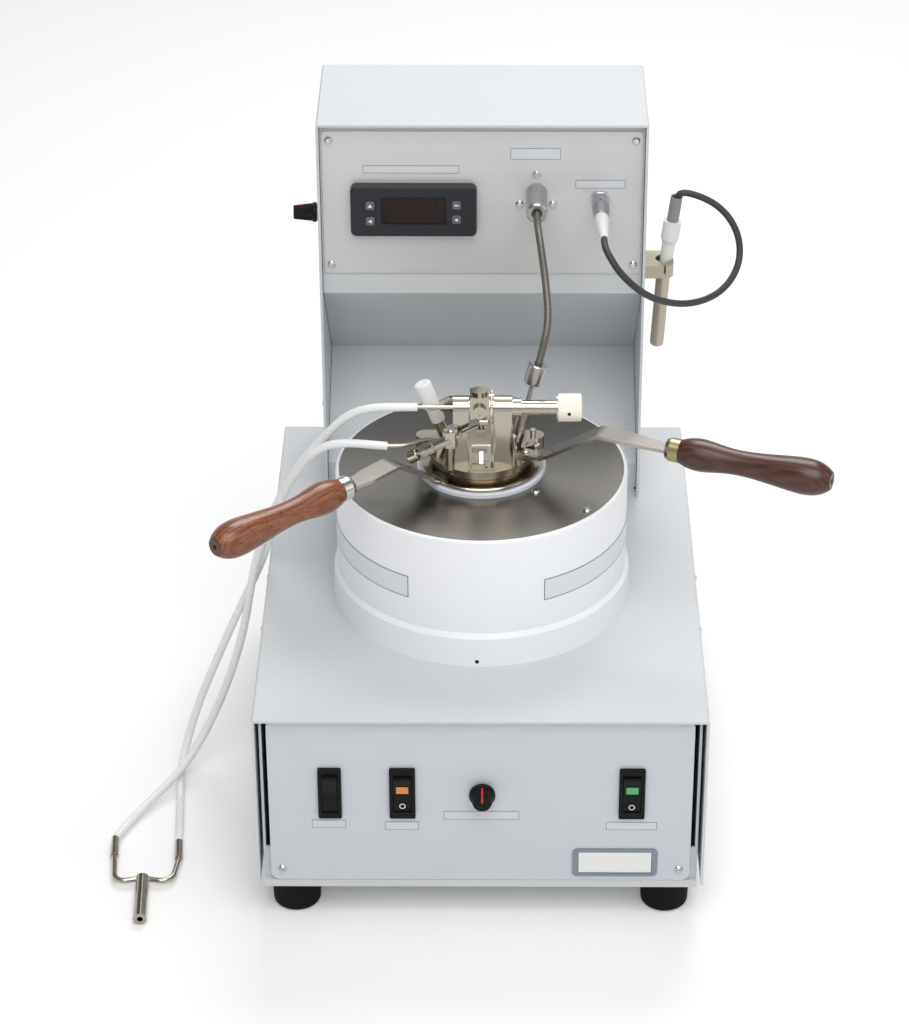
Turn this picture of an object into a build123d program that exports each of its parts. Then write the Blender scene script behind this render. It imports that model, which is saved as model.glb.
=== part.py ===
from build123d import *
import math
import os

# Closed-cup flash point tester: a bench cabinet, a heated bath, a lidded test cup and a rear column.
# Millimetres. +X is to the operator's right, +Y away from the operator and +Z up.
# The origin lies on the bench, midway between the four feet.

os.makedirs("parts", exist_ok=True)

# ------------------------------------------------------------------ clearances
SHEET = 1.5  # sheet of the cabinet and the column
SEAT = 0.1  # between a loose piece and the face that it rests on
SLIP = 0.3  # between faces that slide past each other
PLAY = 0.04  # radial, of a spindle in its bore
HOLE_PLAY = 0.1  # radial, of a fixed piece in its hole
PANEL_GAP = 0.5  # between a panel's edge and the sheet beside it

# ------------------------------------------------------------------ cabinet
COVER_W = 254.0
COVER_D = 330.0
COVER_TOP = 139.0
COVER_BOTTOM = 26.0
TRAY_BOTTOM = 21.5
TRAY_SIDE_GAP = 1.9
TRAY_FLANGE = 112.0
LIP_H = 4.8
PLATE_SETBACK = 4.0
PLATE_T = 3.0
PLATE_SIDE_GAP = 7.7
PLATE_W = COVER_W - 2 * PLATE_SIDE_GAP
PLATE_CORNER_R = 5.0
WIRE_HOLE_R = 20.0
FOOT_X = COVER_W / 2 - 20.7
FOOT_Y = COVER_D / 2 - 21.7
FOOT_TOP_R = 14.5
FOOT_BOTTOM_R = 13.5
FOOT_EDGE_R = 2.5
FOOT_RECESS_R = 4.5
FOOT_RECESS = 12.0

# ------------------------------------------------------------------ dome screws of the cabinet
SCREW_R = 1.5
SCREW_HEAD_R = 2.4
SCREW_HEAD_H = 1.6
SCREW_LENGTH = 8.0
SCREW_SLOT = 0.6
SCREW_DOME_TAPER = 40.0  # degrees
SCREW_RIM_SHARE = 0.35  # of the head's height, below its dome
PLATE_SCREW_X = PLATE_W / 2 - 6.4
PLATE_SCREW_Z = 34.5
SIDE_SCREW_Y = (3.0, -54.0)
SIDE_SCREW_Z = 127.0

# ------------------------------------------------------------------ front controls
CONTROL_Z = 87.9
FRAME_H = 33.8
FRAME_PROUD = 2.0
FRAME_CORNER_R = 1.0
FRAME_LEDGE = 1.3  # how far a switch frame covers the edge of its cutout
SWITCH_DEPTH = 24.0
SWITCH_FLOOR = 8.0
PIVOT_DEPTH = 3.0  # of a rocker's pivot behind the frame's face
ROCKER_BACK = 2.5
ROCKER_RISE = 1.6  # of the rocker's waist over its pivot, past the frame's face
ROCKER_TILT = 10.0  # degrees, either way from the middle
PIVOT_R = 1.0
PIVOT_LENGTH = 0.8
STIRRER_SWITCH_X = -84.7
COLD_SWITCH_X = -43.9
MAIN_SWITCH_X = 85.2
NARROW_FRAME_W = 13.2
NARROW_ROCKER_W = 8.3
NARROW_ROCKER_H = 24.7
WIDE_FRAME_W = 14.6
WIDE_ROCKER_W = 9.8
WIDE_ROCKER_H = 23.6
HEATING_KNOB_X = 1.0
KNOB_BASE_R = 7.35
KNOB_SKIRT = 2.4
KNOB_TAPER = 16.0  # degrees
HEATING_KNOB_L = 9.6
SPEED_KNOB_L = 13.6
KNOB_STANDOFF = 1.4
POINTER_W = 1.0
POINTER_DEPTH = 0.3
SPINDLE_R = 2.0
SPINDLE_LENGTH = 14.0
BUSH_R = 3.5
POT_R = 6.5
POT_DEPTH = 6.0
POT_NUT_R = 5.5
POT_NUT_H = 1.0
NAMEPLATE_X = 76.5
NAMEPLATE_Z = 39.4
NAMEPLATE_W = 48.5
NAMEPLATE_H = 19.2
NAMEPLATE_T = 0.8
NAMEPLATE_END_R = 3.0
NAMEPLATE_RIM = 2.0

# ------------------------------------------------------------------ rear inlet and inner parts
INLET_X = -80.0
INLET_Z = 72.0
INLET_W = 48.0
INLET_H = 28.0
INLET_FLANGE = 2.5
INLET_BODY_W = 28.0
INLET_BODY_H = 21.0
INLET_DEPTH = 22.0
INLET_WELL_W = 24.5
INLET_WELL_H = 16.5
INLET_WELL = 16.0
INLET_PIN = (2.0, 4.0, 12.0)
INLET_PIN_PITCH = 7.0
INLET_PIN_STAGGER = 2.0
BOARD = (120.0, 80.0, 1.6)
BOARD_X = 45.0
BOARD_Y = COVER_D / 2 - 60.0
STANDOFF_H = 10.0
STANDOFF_R = 3.0
STANDOFF_INSET = 6.0
TRANSFORMER = (46.0, 40.0, 38.0)
TRANSFORMER_X = 22.0
HEAT_SINK = (40.0, 30.0, 26.0)
HEAT_SINK_X = 80.0

# ------------------------------------------------------------------ bath
BATH_Y = -23.0
TOP_PLATE_R = 82.3
JACKET_R = TOP_PLATE_R + 2.1
JACKET_FOOT_R = JACKET_R + 2.7
JACKET_FOOT_TOP_R = JACKET_R + 1.9
JACKET_FOOT_H = 17.5
JACKET_SHOULDER = 3.0
JACKET_TOP = 219.9
JACKET_WALL = 3.4
JACKET_EDGE_R = 1.2
LEDGE_R = TOP_PLATE_R - 10.3
LEDGE_H = 4.0
TOP_PLATE_T = 1.5
VESSEL_R = 46.0
VESSEL_FOOT_R = 60.0
VESSEL_FOOT_H = 4.0
WELL_GAP = 1.6  # between the cup and the vessel's well
WELL_FLOOR_GAP = 2.0
HEATER_T = 4.0
HEATER_H = 42.0
HEATER_Z = 150.0
RING_R = 37.3
RING_H = 2.6
RING_EDGE_R = 0.65
RING_SPIGOT_R = 33.0
RING_BORE_GAP = 1.0
BATH_SCREW_R = TOP_PLATE_R - 4.3
BATH_SCREW_ANGLES = (-40.0, -160.0, 80.0)
SMALL_SCREW_R = 43.0
SMALL_SCREW_ANGLE = -44.0

# ------------------------------------------------------------------ test cup
CUP_R = 27.0
CUP_WALL = 1.6
CUP_FLOOR = 2.4
CUP_DEPTH = 55.9
CUP_COLLAR_H = 6.6  # of the wall over the flange
FLANGE_R = 35.5
FLANGE_T = 2.2
FLANGE_BEVEL = 0.6

# ------------------------------------------------------------------ lid
LID_R = 31.0
LID_T = 1.6
SKIRT_R = 29.5
SKIRT_H = 3.6
PORT_W = 9.0
PORT_D = 6.0
PORT_Y = -32.0
TRUNNION_Y = -40.0
TRUNNION_Z = 268.1
POST_DEPTH = 14.0
LEFT_POST_X = (-16.0, -7.0)
RIGHT_POST_X = (7.2, 17.4)
POST_WAIST = 1.2
BRIDGE_X = (-23.4, 22.6)
BRIDGE_Z = (261.5, 270.4)
BRIDGE_T = 2.2
BRIDGE_TAPER = 5.0
SHAFT_R = 4.3
SHAFT_RIGHT = 42.6
SHAFT_ENTRY = 7.0  # into the left post
CARRIER_HUB_R = 5.3
COLLAR_R = 5.4
COLLAR_L = 5.0
TILT_KNOB_R = 7.75
TILT_KNOB_L = 14.0
TILT_KNOB_EDGE = 0.8
SET_HOLE_R = 0.9
SET_HOLE = 3.0

CARRIER_X = (-6.4, 4.4)
CARRIER_FRONT = 6.8  # in front of the trunnion axis
CARRIER_REAR = 5.0
CARRIER_UP = 9.6
CARRIER_DOWN = 4.2
CARRIER_CAP_R = 4.5
CARRIER_CAP_H = 1.6
BOSS_R = 3.9
BOSS_PROUD = 2.6
BOSS_SLOT = 1.4
DISC_R = 9.4
DISC_X = (4.6, 6.9)
LEVER_W = 7.2
FORK_W = 4.0
LEVER_T = 1.5
PIN_DROP = 25.2  # of the shutter pin below the trunnion axis
PIN_R = 1.2
PIN_BLOCK = (8.8, 3.6, 3.6)  # across, deep and high; the pin lies half in its top
FORK_ABOVE = 3.0
FORK_BELOW = 4.6
JET_TIP_R = 2.0
JET_TIP_L = 4.6
JET_HEEL_L = 3.0
JET_TIP_DROP = 4.6
JET_STEM_R = 1.5
JET_BLOCK = (5.6, 5.0, 4.7)
JET_BLOCK_TOP = 13.1  # below the trunnion axis

SHUTTER_W = 13.0
SHUTTER_T = 1.0
SHUTTER_FRONT = -51.0
SHUTTER_REAR = -26.0
WINDOW_Y = -43.4
SHUTTER_RAIL = (7.4, 2.4, 1.5)
SHUTTER_STEM_W = 2.2

PILOT_Y = -50.3
PILOT_BLOCK_X = (-21.5, -13.4)
PILOT_BLOCK_Z = (248.5, 258.5)
PILOT_BLOCK_D = 5.4
PILOT_BEVEL = 1.4
PILLAR_R = 1.9
PILOT_RISE = 28.2  # degrees, of the pilot's axis to the right
VALVE_BODY_R = 3.2
VALVE_BODY_L = 6.0
VALVE_HEX_R = 3.9
VALVE_HEX_L = 5.0
VALVE_NUT_R = 4.3
VALVE_NUT_L = 3.6
VALVE_STEM_R = 1.3
VALVE_KNOB_R = 3.7
VALVE_KNOB_L = 6.6
VALVE_KNOB_GAP = 1.6
NOZZLE_R = 1.1
NOZZLE_BASE_R = 2.0
NOZZLE_L = 13.2

SIDE_BLOCK_Y = (-28.3, -18.0)
SIDE_BLOCK_H = 7.8
RIGHT_BLOCK_X = (25.2, 36.0)
LEFT_BLOCK_X = (-37.6, -25.7)
SIDE_BLOCK_R = 5.0
LID_SCREW_R = 1.1
LID_SCREW_HEAD_R = 1.9
LID_SCREW_HEAD_H = 1.3
LID_SCREW_L = 2.6
BLOCK_SCREW_SHIFT = 1.0  # of the right block's screw and stud from its middle, either way
STUD_R = 1.7
STUD_H = 3.4
LATCH_X = 18.6
LATCH_Y = -30.4
LATCH_R = 0.7
LATCH_H = 10.5
LATCH_BALL_R = 1.6

THERMO_TILT = -21.0  # degrees, top to the left
THERMO_X = -18.1
SOCKET_R = 3.25
SOCKET_BORE_R = 2.3
SOCKET_L = 18.0
STOPPER_R = 5.0
STOPPER_L = 26.0
STOPPER_SPIGOT_L = 12.0
STOPPER_EDGE = 1.2
STIRRER_TILT = 14.0  # degrees, top to the right
STIRRER_X = 19.0
GLAND_R = 3.7
GLAND_L = 25.0
GLAND_COLLAR_R = 4.2
GLAND_COLLAR_L = 3.0
ROD_R = 1.5
ROD_BOTTOM = -34.0  # along the rod, from the lid's top
COUPLING_R = 5.5
COUPLING_L = 12.5
COUPLING_START = 43.2  # along the rod, from the lid's top
COUPLING_EDGE = 0.7
COUPLING_WELL_R = 2.5
COUPLING_WELL = 4.0
BLADE_R = 9.0
BLADE_W = 7.0
BLADE_T = 1.0
BLADE_HUB_R = 3.2
BLADE_HUB_L = 5.0
LID_HOLE_PLAY = 0.9

# ------------------------------------------------------------------ handles
ARM_T = 2.0
ARM_W = 13.0
ARM_ROOT_W = 8.0
ARM_NECK_W = 8.6
ARM_BEND_R = 5.0
LID_ARM_ANGLE = -22.0
LID_ARM_TAB = 23.5
LID_ARM_FOOT = 36.5
LID_ARM_BEND = 72.3
LID_ARM_END = 112.4
LID_GRIP_Z = 256.0
CUP_ARM_ANGLE = 223.0
CUP_ARM_TAB = 30.0
CUP_ARM_FOOT = 36.0
CUP_ARM_BEND = 68.3
CUP_ARM_END = 99.4
CUP_GRIP_Z = 246.5
FERRULE_R = 6.8
FERRULE_TIP_R = 5.6
FERRULE_L = 8.0
FERRULE_CONE = 2.4
GRIP_L = 88.0
GRIP_NECK_R = 6.6
GRIP_BULGE_R = 9.2
GRIP_WAIST_R = 7.6
GRIP_PALM_R = 9.9
GRIP_SHOULDER_R = 8.9
GRIP_END_R = 5.0
GRIP_BULGE = 10.0
GRIP_WAIST = 26.0
GRIP_PALM = 66.0
GRIP_SHOULDER = 82.0
EYE_R = 2.2
EYE_WIRE_R = 0.6
GRIP_HOLE_R = 1.5
GRIP_HOLE = 6.0

# ------------------------------------------------------------------ column
COLUMN_W = 193.0
COLUMN_FRONT = COVER_D / 2 - 88.0
COLUMN_TOP = 389.0
FACE_SETBACK = 6.5
NOTCH_TOP = 277.4
NOTCH_BACK_Y = COVER_D / 2 - 7.0
NOTCH_BACK_Z = 202.0
NOTCH_BOTTOM = 159.5
COLUMN_FOOT = 18.0
PANEL_T = 1.0
PANEL_W = 187.0
PANEL_BOTTOM = 291.0
PANEL_TOP = 382.6
PANEL_CORNER_R = 2.5
PANEL_SCREW_X = 89.4
PANEL_SCREW_Z = (296.8, 377.0)

CASE_X = -40.2
CASE_Z = 333.8
BEZEL_W = 74.0
BEZEL_H = 32.0
BEZEL_T = 6.0
BEZEL_R = 3.5
CASE_W = 67.0
CASE_H = 28.0
CASE_DEPTH = 60.0
DISPLAY_W = 38.2
DISPLAY_H = 17.2
DISPLAY_Z = 334.4
DISPLAY_DEPTH = 0.6
KEY = 5.4
KEY_R = 1.2
KEY_DEPTH = 2.6
KEY_PROUD = 0.7
KEY_GAP = 0.25
KEY_WELL = 3.6
KEYS = {
    "key_up": (-65.7, 337.9),
    "key_left": (-65.7, 328.0),
    "key_menu": (-15.0, 338.3),
    "key_set": (-15.0, 329.0),
}

MOTOR_X = 31.75
MOTOR_Z = 343.4
GEARBOX_R = 18.5
GEARBOX_L = 22.0
MOTOR_R = 14.0
MOTOR_L = 38.0
DRIVE_R = 6.25
DRIVE_L = 28.0
DRIVE_EDGE = 1.0
DRIVE_WELL_R = 3.2
DRIVE_WELL = 5.0
DRIVE_SPINDLE_R = 3.0
DRIVE_SPINDLE_L = 14.0
DRIVE_GAP = 0.5
MOTOR_SCREW_R = 12.1
MOTOR_SCREW_ANGLES = (90.0, 216.0, 324.0)

SENSOR_X = 69.2
SENSOR_Z = 340.0
SOCKET_RING_R = 5.65
SOCKET_RING_L = 3.2
SOCKET_BODY_R = 4.2
SOCKET_BODY_L = 18.0
PLUG_R = 4.95
PLUG_L = 21.0
PLUG_RIBS = 5
PLUG_RIB_DEPTH = 0.3
BOOT_R = 4.4
BOOT_L = 28.0
BOOT_TIP_R = 2.5
BOOT_DROOP = 0.8

SPEED_Y = COLUMN_FRONT + 15.0
SPEED_Z = 326.3
SIDE_SWITCH_Y = COLUMN_FRONT + 65.0
SIDE_SWITCH_Z = 175.0
SIDE_FRAME_W = 12.0
SIDE_FRAME_H = 19.0
SIDE_ROCKER_W = 7.2
SIDE_ROCKER_H = 13.0

HOLDER_X = 108.6
HOLDER_Y = COLUMN_FRONT + 18.5
HOLDER_Z = 294.5
HOLDER_T = 8.2
HOLDER_D = 21.0
HOLDER_END = 5.4
HOLDER_WELL_R = 5.3
HOLDER_WELL = 4.0
TUBE_R = 4.15
TUBE_BORE_R = 3.45
TUBE_L = 54.0
TUBE_LEAN = 3.2  # degrees, foot to the left
HOLDER_SLIT = 1.2
PROBE_LEAN = 7.0  # degrees, top to the right
PROBE_SHIFT = 0.8
PROBE_LIFT = 0.6
PROBE_R = 1.6
PROBE_L = 28.0
GRIP_TIP_R = 3.7
GRIP_MID_R = 4.1
GRIP_TOP_R = 5.3
GRIP_CONE = 14.0
GRIP_STEP = 17.0
PROBE_GRIP_L = 28.4
SLEEVE_R = 3.5
SLEEVE_L = 16.0
SLEEVE_WELL = 4.0
SLEEVE_GAP = 1.0

# ------------------------------------------------------------------ cords and gas lines
CABLE_R = 2.0
FLEX_R = 2.15
FLEX_LEAD_IN = 13.4
FLEX_LEAD_OUT = 10.0
CABLE_LEAD_IN = 9.3
HOSE_R = 2.4
REAR_SLEEVE_L = 15.5
FRONT_SLEEVE_L = 13.5
HOSE_BORE_R = 1.35
GAS_TUBE_R = 1.25
REAR_TUBE_END = -51.5
TEE_Z = 3.9
TEE_R = 1.6
TEE_BODY_R = 3.85
TEE_BORE_R = 1.7
TEE_BORE = 14.0
TEE_FERRULE_R = 2.4
TEE_FERRULE_L = 16.5
TEE_LEFT = (-215.9, -109.4)
TEE_RIGHT = (-177.8, -112.7)
TEE_FORK = (-197.4, -131.0)
TEE_END = (-195.3, -169.4)
TEE_TURN = (2.5, 4.0)  # of a leg's corner, from its ferrule and from the fork
CORD_ARC_SHARE = 0.45  # of the shorter run beside a corner

# ------------------------------------------------------------------ places worked out from the sizes
COVER_FRONT = -COVER_D / 2
COVER_REAR = COVER_D / 2
PLATE_Y = COVER_FRONT + PLATE_SETBACK
PLATE_BOTTOM = TRAY_BOTTOM + LIP_H + SLIP
PLATE_TOP = COVER_TOP - SHEET - PANEL_GAP
TRAY_W = COVER_W - 2 * (SHEET + TRAY_SIDE_GAP)
TRAY_REAR = COVER_REAR - SHEET - SLIP
WALL_X = -COLUMN_W / 2
FACE_Y = COLUMN_FRONT + FACE_SETBACK
PANEL_Y = FACE_Y - PANEL_T
CASE_Y = PANEL_Y - BEZEL_T
TOP_PLATE_TOP = JACKET_TOP + SEAT
LEDGE_Z = TOP_PLATE_TOP - TOP_PLATE_T - SEAT
RING_TOP = TOP_PLATE_TOP + RING_H
FLANGE_BOTTOM = RING_TOP + SEAT
FLANGE_TOP = FLANGE_BOTTOM + FLANGE_T
CUP_TOP = FLANGE_TOP + CUP_COLLAR_H
CUP_BOTTOM = CUP_TOP - CUP_DEPTH - CUP_FLOOR
LID_BOTTOM = CUP_TOP + SEAT
LID_TOP = LID_BOTTOM + LID_T
POST_TOP_R = POST_DEPTH / 2
PIN_Z = TRUNNION_Z - PIN_DROP
BOTTOM_FRONT = (0.0, 0.0, -1.0)


def keep(piece, name):
    """Labels a finished piece and writes it as parts/NAME.step."""
    piece.part.label = name
    export_step(piece.part, f"parts/{name}.step")


def front_plane(x, y, z):
    """A plane facing the operator: local x to the right, local y up."""
    return Plane(origin=(x, y, z), x_dir=(1, 0, 0), z_dir=(0, -1, 0))


def left_plane(x, y, z):
    """A plane facing left: local x towards the operator, local y up."""
    return Plane(origin=(x, y, z), x_dir=(0, -1, 0), z_dir=(-1, 0, 0))


def leaning(x, y, z, degrees):
    """A plane whose normal leans from vertical towards +X by that angle."""
    lean = math.radians(degrees)
    return Plane(origin=(x, y, z), x_dir=(math.cos(lean), 0, -math.sin(lean)),
                 z_dir=(math.sin(lean), 0, math.cos(lean)))


def arm_plane(degrees):
    """The upright plane through the cup's axis that holds an arm: local x outwards, local y up."""
    turn = math.radians(degrees)
    return Plane(origin=(0, BATH_Y, 0), x_dir=(math.cos(turn), math.sin(turn), 0),
                 z_dir=(math.sin(turn), -math.cos(turn), 0))


def corner_radii(points):
    """For each corner of a route, the radius whose arc takes up its share of the shorter run beside it."""
    radii = []
    for before, here, after in zip(points, points[1:], points[2:]):
        run_in = Vector(*here) - Vector(*before)
        run_out = Vector(*after) - Vector(*here)
        turn = math.radians(run_in.get_angle(run_out))
        radii.append(CORD_ARC_SHARE * min(run_in.length, run_out.length) / math.tan(turn / 2))
    return radii


def report_cord(name, solid, route, points, radius):
    """Prints a cord's least radius, and its volume beside its section times its length."""
    expected = math.pi * radius**2 * route.length
    print(name, "radii", [round(r, 1) for r in corner_radii(points)],
          "length", round(route.length, 1), "volume", round(solid.volume), "of", round(expected))


# ================================================================== cabinet
# Folded cover: top and both sides, open at the front, rear and below.
with BuildPart() as base_cover:
    with BuildSketch(Plane.XZ.offset(-COVER_REAR)):
        with Locations((0, (COVER_BOTTOM + COVER_TOP) / 2)):
            Rectangle(COVER_W, COVER_TOP - COVER_BOTTOM)
        with Locations((0, (COVER_BOTTOM + COVER_TOP) / 2 - SHEET)):
            Rectangle(COVER_W - 2 * SHEET, COVER_TOP - COVER_BOTTOM, mode=Mode.SUBTRACT)
    extrude(amount=COVER_D)
    fillet(base_cover.edges().filter_by(Axis.Y).group_by(Axis.Z)[-1], SHEET)
    with BuildSketch(Plane.XY.offset(COVER_TOP)):
        with Locations((0, BATH_Y)):
            Circle(WIRE_HOLE_R)
        with Locations((0, (COLUMN_FRONT + COVER_REAR) / 2)):
            Rectangle(4 * WIRE_HOLE_R, 2 * WIRE_HOLE_R)
    extrude(amount=-2 * SHEET, mode=Mode.SUBTRACT)
    for side in (-1, 1):
        for y in SIDE_SCREW_Y:
            with Locations(Plane(origin=(side * COVER_W / 2, y, SIDE_SCREW_Z), z_dir=(side, 0, 0))):
                Hole(SCREW_R + HOLE_PLAY, depth=2 * SHEET)
keep(base_cover, "base_cover")

# Tray: floor, side flanges, front flange with its hem, and the rear wall that holds the inlet.
with BuildPart() as base_tray:
    with BuildSketch(Plane.XY.offset(TRAY_BOTTOM)):
        with Locations((0, (PLATE_Y + TRAY_REAR) / 2)):
            Rectangle(TRAY_W, TRAY_REAR - PLATE_Y)
    extrude(amount=SHEET)
    for side in (-1, 1):
        with BuildSketch(Plane.XY.offset(TRAY_BOTTOM)):
            with Locations((side * (TRAY_W - SHEET) / 2, (PLATE_Y + PLATE_T + TRAY_REAR) / 2)):
                Rectangle(SHEET, TRAY_REAR - PLATE_Y - PLATE_T)
        extrude(amount=TRAY_FLANGE)
    with BuildSketch(Plane.XY.offset(TRAY_BOTTOM)):
        with Locations((0, PLATE_Y + PLATE_T + SHEET / 2)):
            Rectangle(TRAY_W, SHEET)
    extrude(amount=2 * (PLATE_SCREW_Z - TRAY_BOTTOM))
    with BuildSketch(Plane.XY.offset(TRAY_BOTTOM)):
        with Locations((0, PLATE_Y + PLATE_T / 2)):
            Rectangle(TRAY_W, PLATE_T)
    extrude(amount=LIP_H)
    with BuildSketch(Plane.XY.offset(TRAY_BOTTOM)):
        with Locations((0, TRAY_REAR - SHEET / 2)):
            Rectangle(TRAY_W, SHEET)
    extrude(amount=PLATE_TOP - TRAY_BOTTOM)
    with BuildSketch(Plane(origin=(INLET_X, TRAY_REAR, INLET_Z), x_dir=(-1, 0, 0), z_dir=(0, 1, 0))):
        Rectangle(INLET_BODY_W + 2 * HOLE_PLAY, INLET_BODY_H + 2 * HOLE_PLAY)
    extrude(amount=-2 * SHEET, mode=Mode.SUBTRACT)
    for side in (-1, 1):
        with Locations(front_plane(side * PLATE_SCREW_X, PLATE_Y + PLATE_T, PLATE_SCREW_Z)):
            Hole(SCREW_R + HOLE_PLAY, depth=2 * SHEET)
        for y in SIDE_SCREW_Y:
            with Locations(Plane(origin=(side * TRAY_W / 2, y, SIDE_SCREW_Z), z_dir=(side, 0, 0))):
                Hole(SCREW_R + HOLE_PLAY, depth=2 * SHEET)
    with Locations(Plane.XY.offset(TRAY_BOTTOM + SHEET)):
        with GridLocations(2 * FOOT_X, 2 * FOOT_Y, 2, 2):
            Hole(SCREW_R + HOLE_PLAY, depth=2 * SHEET)
keep(base_tray, "base_tray")


def switch_cutout(frame_w, frame_h):
    """The panel cutout of a switch, drawn in the current sketch."""
    Rectangle(frame_w - 2 * FRAME_LEDGE + 2 * HOLE_PLAY, frame_h - 2 * FRAME_LEDGE + 2 * HOLE_PLAY)


# Front panel: cutouts for three switches and the heating regulator's bush.
with BuildPart() as front_panel:
    with BuildSketch(front_plane(0, PLATE_Y, (PLATE_BOTTOM + PLATE_TOP) / 2)):
        RectangleRounded(PLATE_W, PLATE_TOP - PLATE_BOTTOM, PLATE_CORNER_R)
    extrude(amount=-PLATE_T)
    with BuildSketch(front_plane(0, PLATE_Y, CONTROL_Z)):
        with Locations((STIRRER_SWITCH_X, 0)):
            switch_cutout(NARROW_FRAME_W, FRAME_H)
        with Locations((COLD_SWITCH_X, 0), (MAIN_SWITCH_X, 0)):
            switch_cutout(WIDE_FRAME_W, FRAME_H)
        with Locations((HEATING_KNOB_X, 0)):
            Circle(BUSH_R + HOLE_PLAY)
    extrude(amount=-PLATE_T, mode=Mode.SUBTRACT)
    with Locations(front_plane(0, PLATE_Y, PLATE_SCREW_Z)):
        with GridLocations(2 * PLATE_SCREW_X, 0, 2, 1):
            Hole(SCREW_R + HOLE_PLAY, depth=PLATE_T)
keep(front_panel, "front_panel")

# Nameplate: a raised rim round a blank field.
with BuildPart() as nameplate:
    with BuildSketch(front_plane(NAMEPLATE_X, PLATE_Y, NAMEPLATE_Z)):
        RectangleRounded(NAMEPLATE_W, NAMEPLATE_H, NAMEPLATE_END_R)
    extrude(amount=NAMEPLATE_T)
    with BuildSketch(front_plane(NAMEPLATE_X, PLATE_Y - NAMEPLATE_T, NAMEPLATE_Z)):
        Rectangle(NAMEPLATE_W - 2 * NAMEPLATE_END_R, NAMEPLATE_H - 2 * NAMEPLATE_RIM)
    extrude(amount=-NAMEPLATE_T / 2, mode=Mode.SUBTRACT)
keep(nameplate, "nameplate")

# Rubber feet: tapered, with a rounded lower edge and a recess for the screw.
with BuildPart() as base_feet:
    with GridLocations(2 * FOOT_X, 2 * FOOT_Y, 2, 2):
        Cone(FOOT_BOTTOM_R, FOOT_TOP_R, TRAY_BOTTOM, align=(Align.CENTER, Align.CENTER, Align.MIN))
    fillet(base_feet.edges().group_by(Axis.Z)[0], FOOT_EDGE_R)
    with GridLocations(2 * FOOT_X, 2 * FOOT_Y, 2, 2):
        Cylinder(FOOT_RECESS_R, FOOT_RECESS, align=(Align.CENTER, Align.CENTER, Align.MIN),
                 mode=Mode.SUBTRACT)
        Cylinder(SCREW_R + HOLE_PLAY, TRAY_BOTTOM, align=(Align.CENTER, Align.CENTER, Align.MIN),
                 mode=Mode.SUBTRACT)
keep(base_feet, "base_feet")

# Dome screws, all alike: each seat is a plane whose normal points out of the head.
SCREW_SEATS = (
    [front_plane(side * PLATE_SCREW_X, PLATE_Y, PLATE_SCREW_Z) for side in (-1, 1)]
    + [Plane(origin=(side * COVER_W / 2, y, SIDE_SCREW_Z), z_dir=(side, 0, 0))
       for side in (-1, 1) for y in SIDE_SCREW_Y]
    + [Plane(origin=(x, y, FOOT_RECESS), z_dir=BOTTOM_FRONT)
       for x in (-FOOT_X, FOOT_X) for y in (-FOOT_Y, FOOT_Y)]
    + [front_plane(side * PANEL_SCREW_X, PANEL_Y, z) for side in (-1, 1) for z in PANEL_SCREW_Z]
    + [front_plane(MOTOR_X + MOTOR_SCREW_R * math.cos(math.radians(turn)), PANEL_Y,
                   MOTOR_Z + MOTOR_SCREW_R * math.sin(math.radians(turn)))
       for turn in MOTOR_SCREW_ANGLES]
    + [Plane(origin=(BATH_SCREW_R * math.cos(math.radians(turn)),
                     BATH_Y + BATH_SCREW_R * math.sin(math.radians(turn)), TOP_PLATE_TOP))
       for turn in BATH_SCREW_ANGLES]
    + [Plane(origin=(SMALL_SCREW_R * math.cos(math.radians(SMALL_SCREW_ANGLE)),
                     BATH_Y + SMALL_SCREW_R * math.sin(math.radians(SMALL_SCREW_ANGLE)), TOP_PLATE_TOP))]
)
FOOT_SEATS = [seat for seat in SCREW_SEATS if seat.origin.Z == FOOT_RECESS]


def dome_screw(seat, shank_r, length, head_r, head_h):
    """Adds a dome screw to the current part, its head standing on the seat."""
    rim_h = head_h * SCREW_RIM_SHARE
    with BuildSketch(seat) as shank:
        Circle(shank_r)
    extrude(shank.sketch, amount=-length)
    with BuildSketch(seat) as rim:
        Circle(head_r)
    extrude(rim.sketch, amount=rim_h)
    with BuildSketch(seat.offset(rim_h)) as dome:
        Circle(head_r)
    extrude(dome.sketch, amount=head_h - rim_h, taper=SCREW_DOME_TAPER)
    with BuildSketch(seat.offset(head_h)) as slot:
        Rectangle(head_r, SCREW_SLOT)
    extrude(slot.sketch, amount=-head_h / 2, mode=Mode.SUBTRACT)


with BuildPart() as case_screws:
    for seat in SCREW_SEATS:
        length = SCREW_LENGTH + TRAY_BOTTOM - FOOT_RECESS if seat in FOOT_SEATS else SCREW_LENGTH
        dome_screw(seat, SCREW_R, length, SCREW_HEAD_R, SCREW_HEAD_H)
keep(case_screws, "case_screws")


# ================================================================== switches, knobs and inlet
def side_section(face, depth, half_width, tilt=0.0):
    """A plane square to the face's local x, that far behind the face: local x outwards, tilted upwards."""
    turn = math.radians(tilt)
    return Plane(origin=face.from_local_coords((half_width, 0, -depth)),
                 x_dir=face.z_dir * math.cos(turn) + face.y_dir * math.sin(turn),
                 z_dir=face.x_dir * -1)


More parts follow.
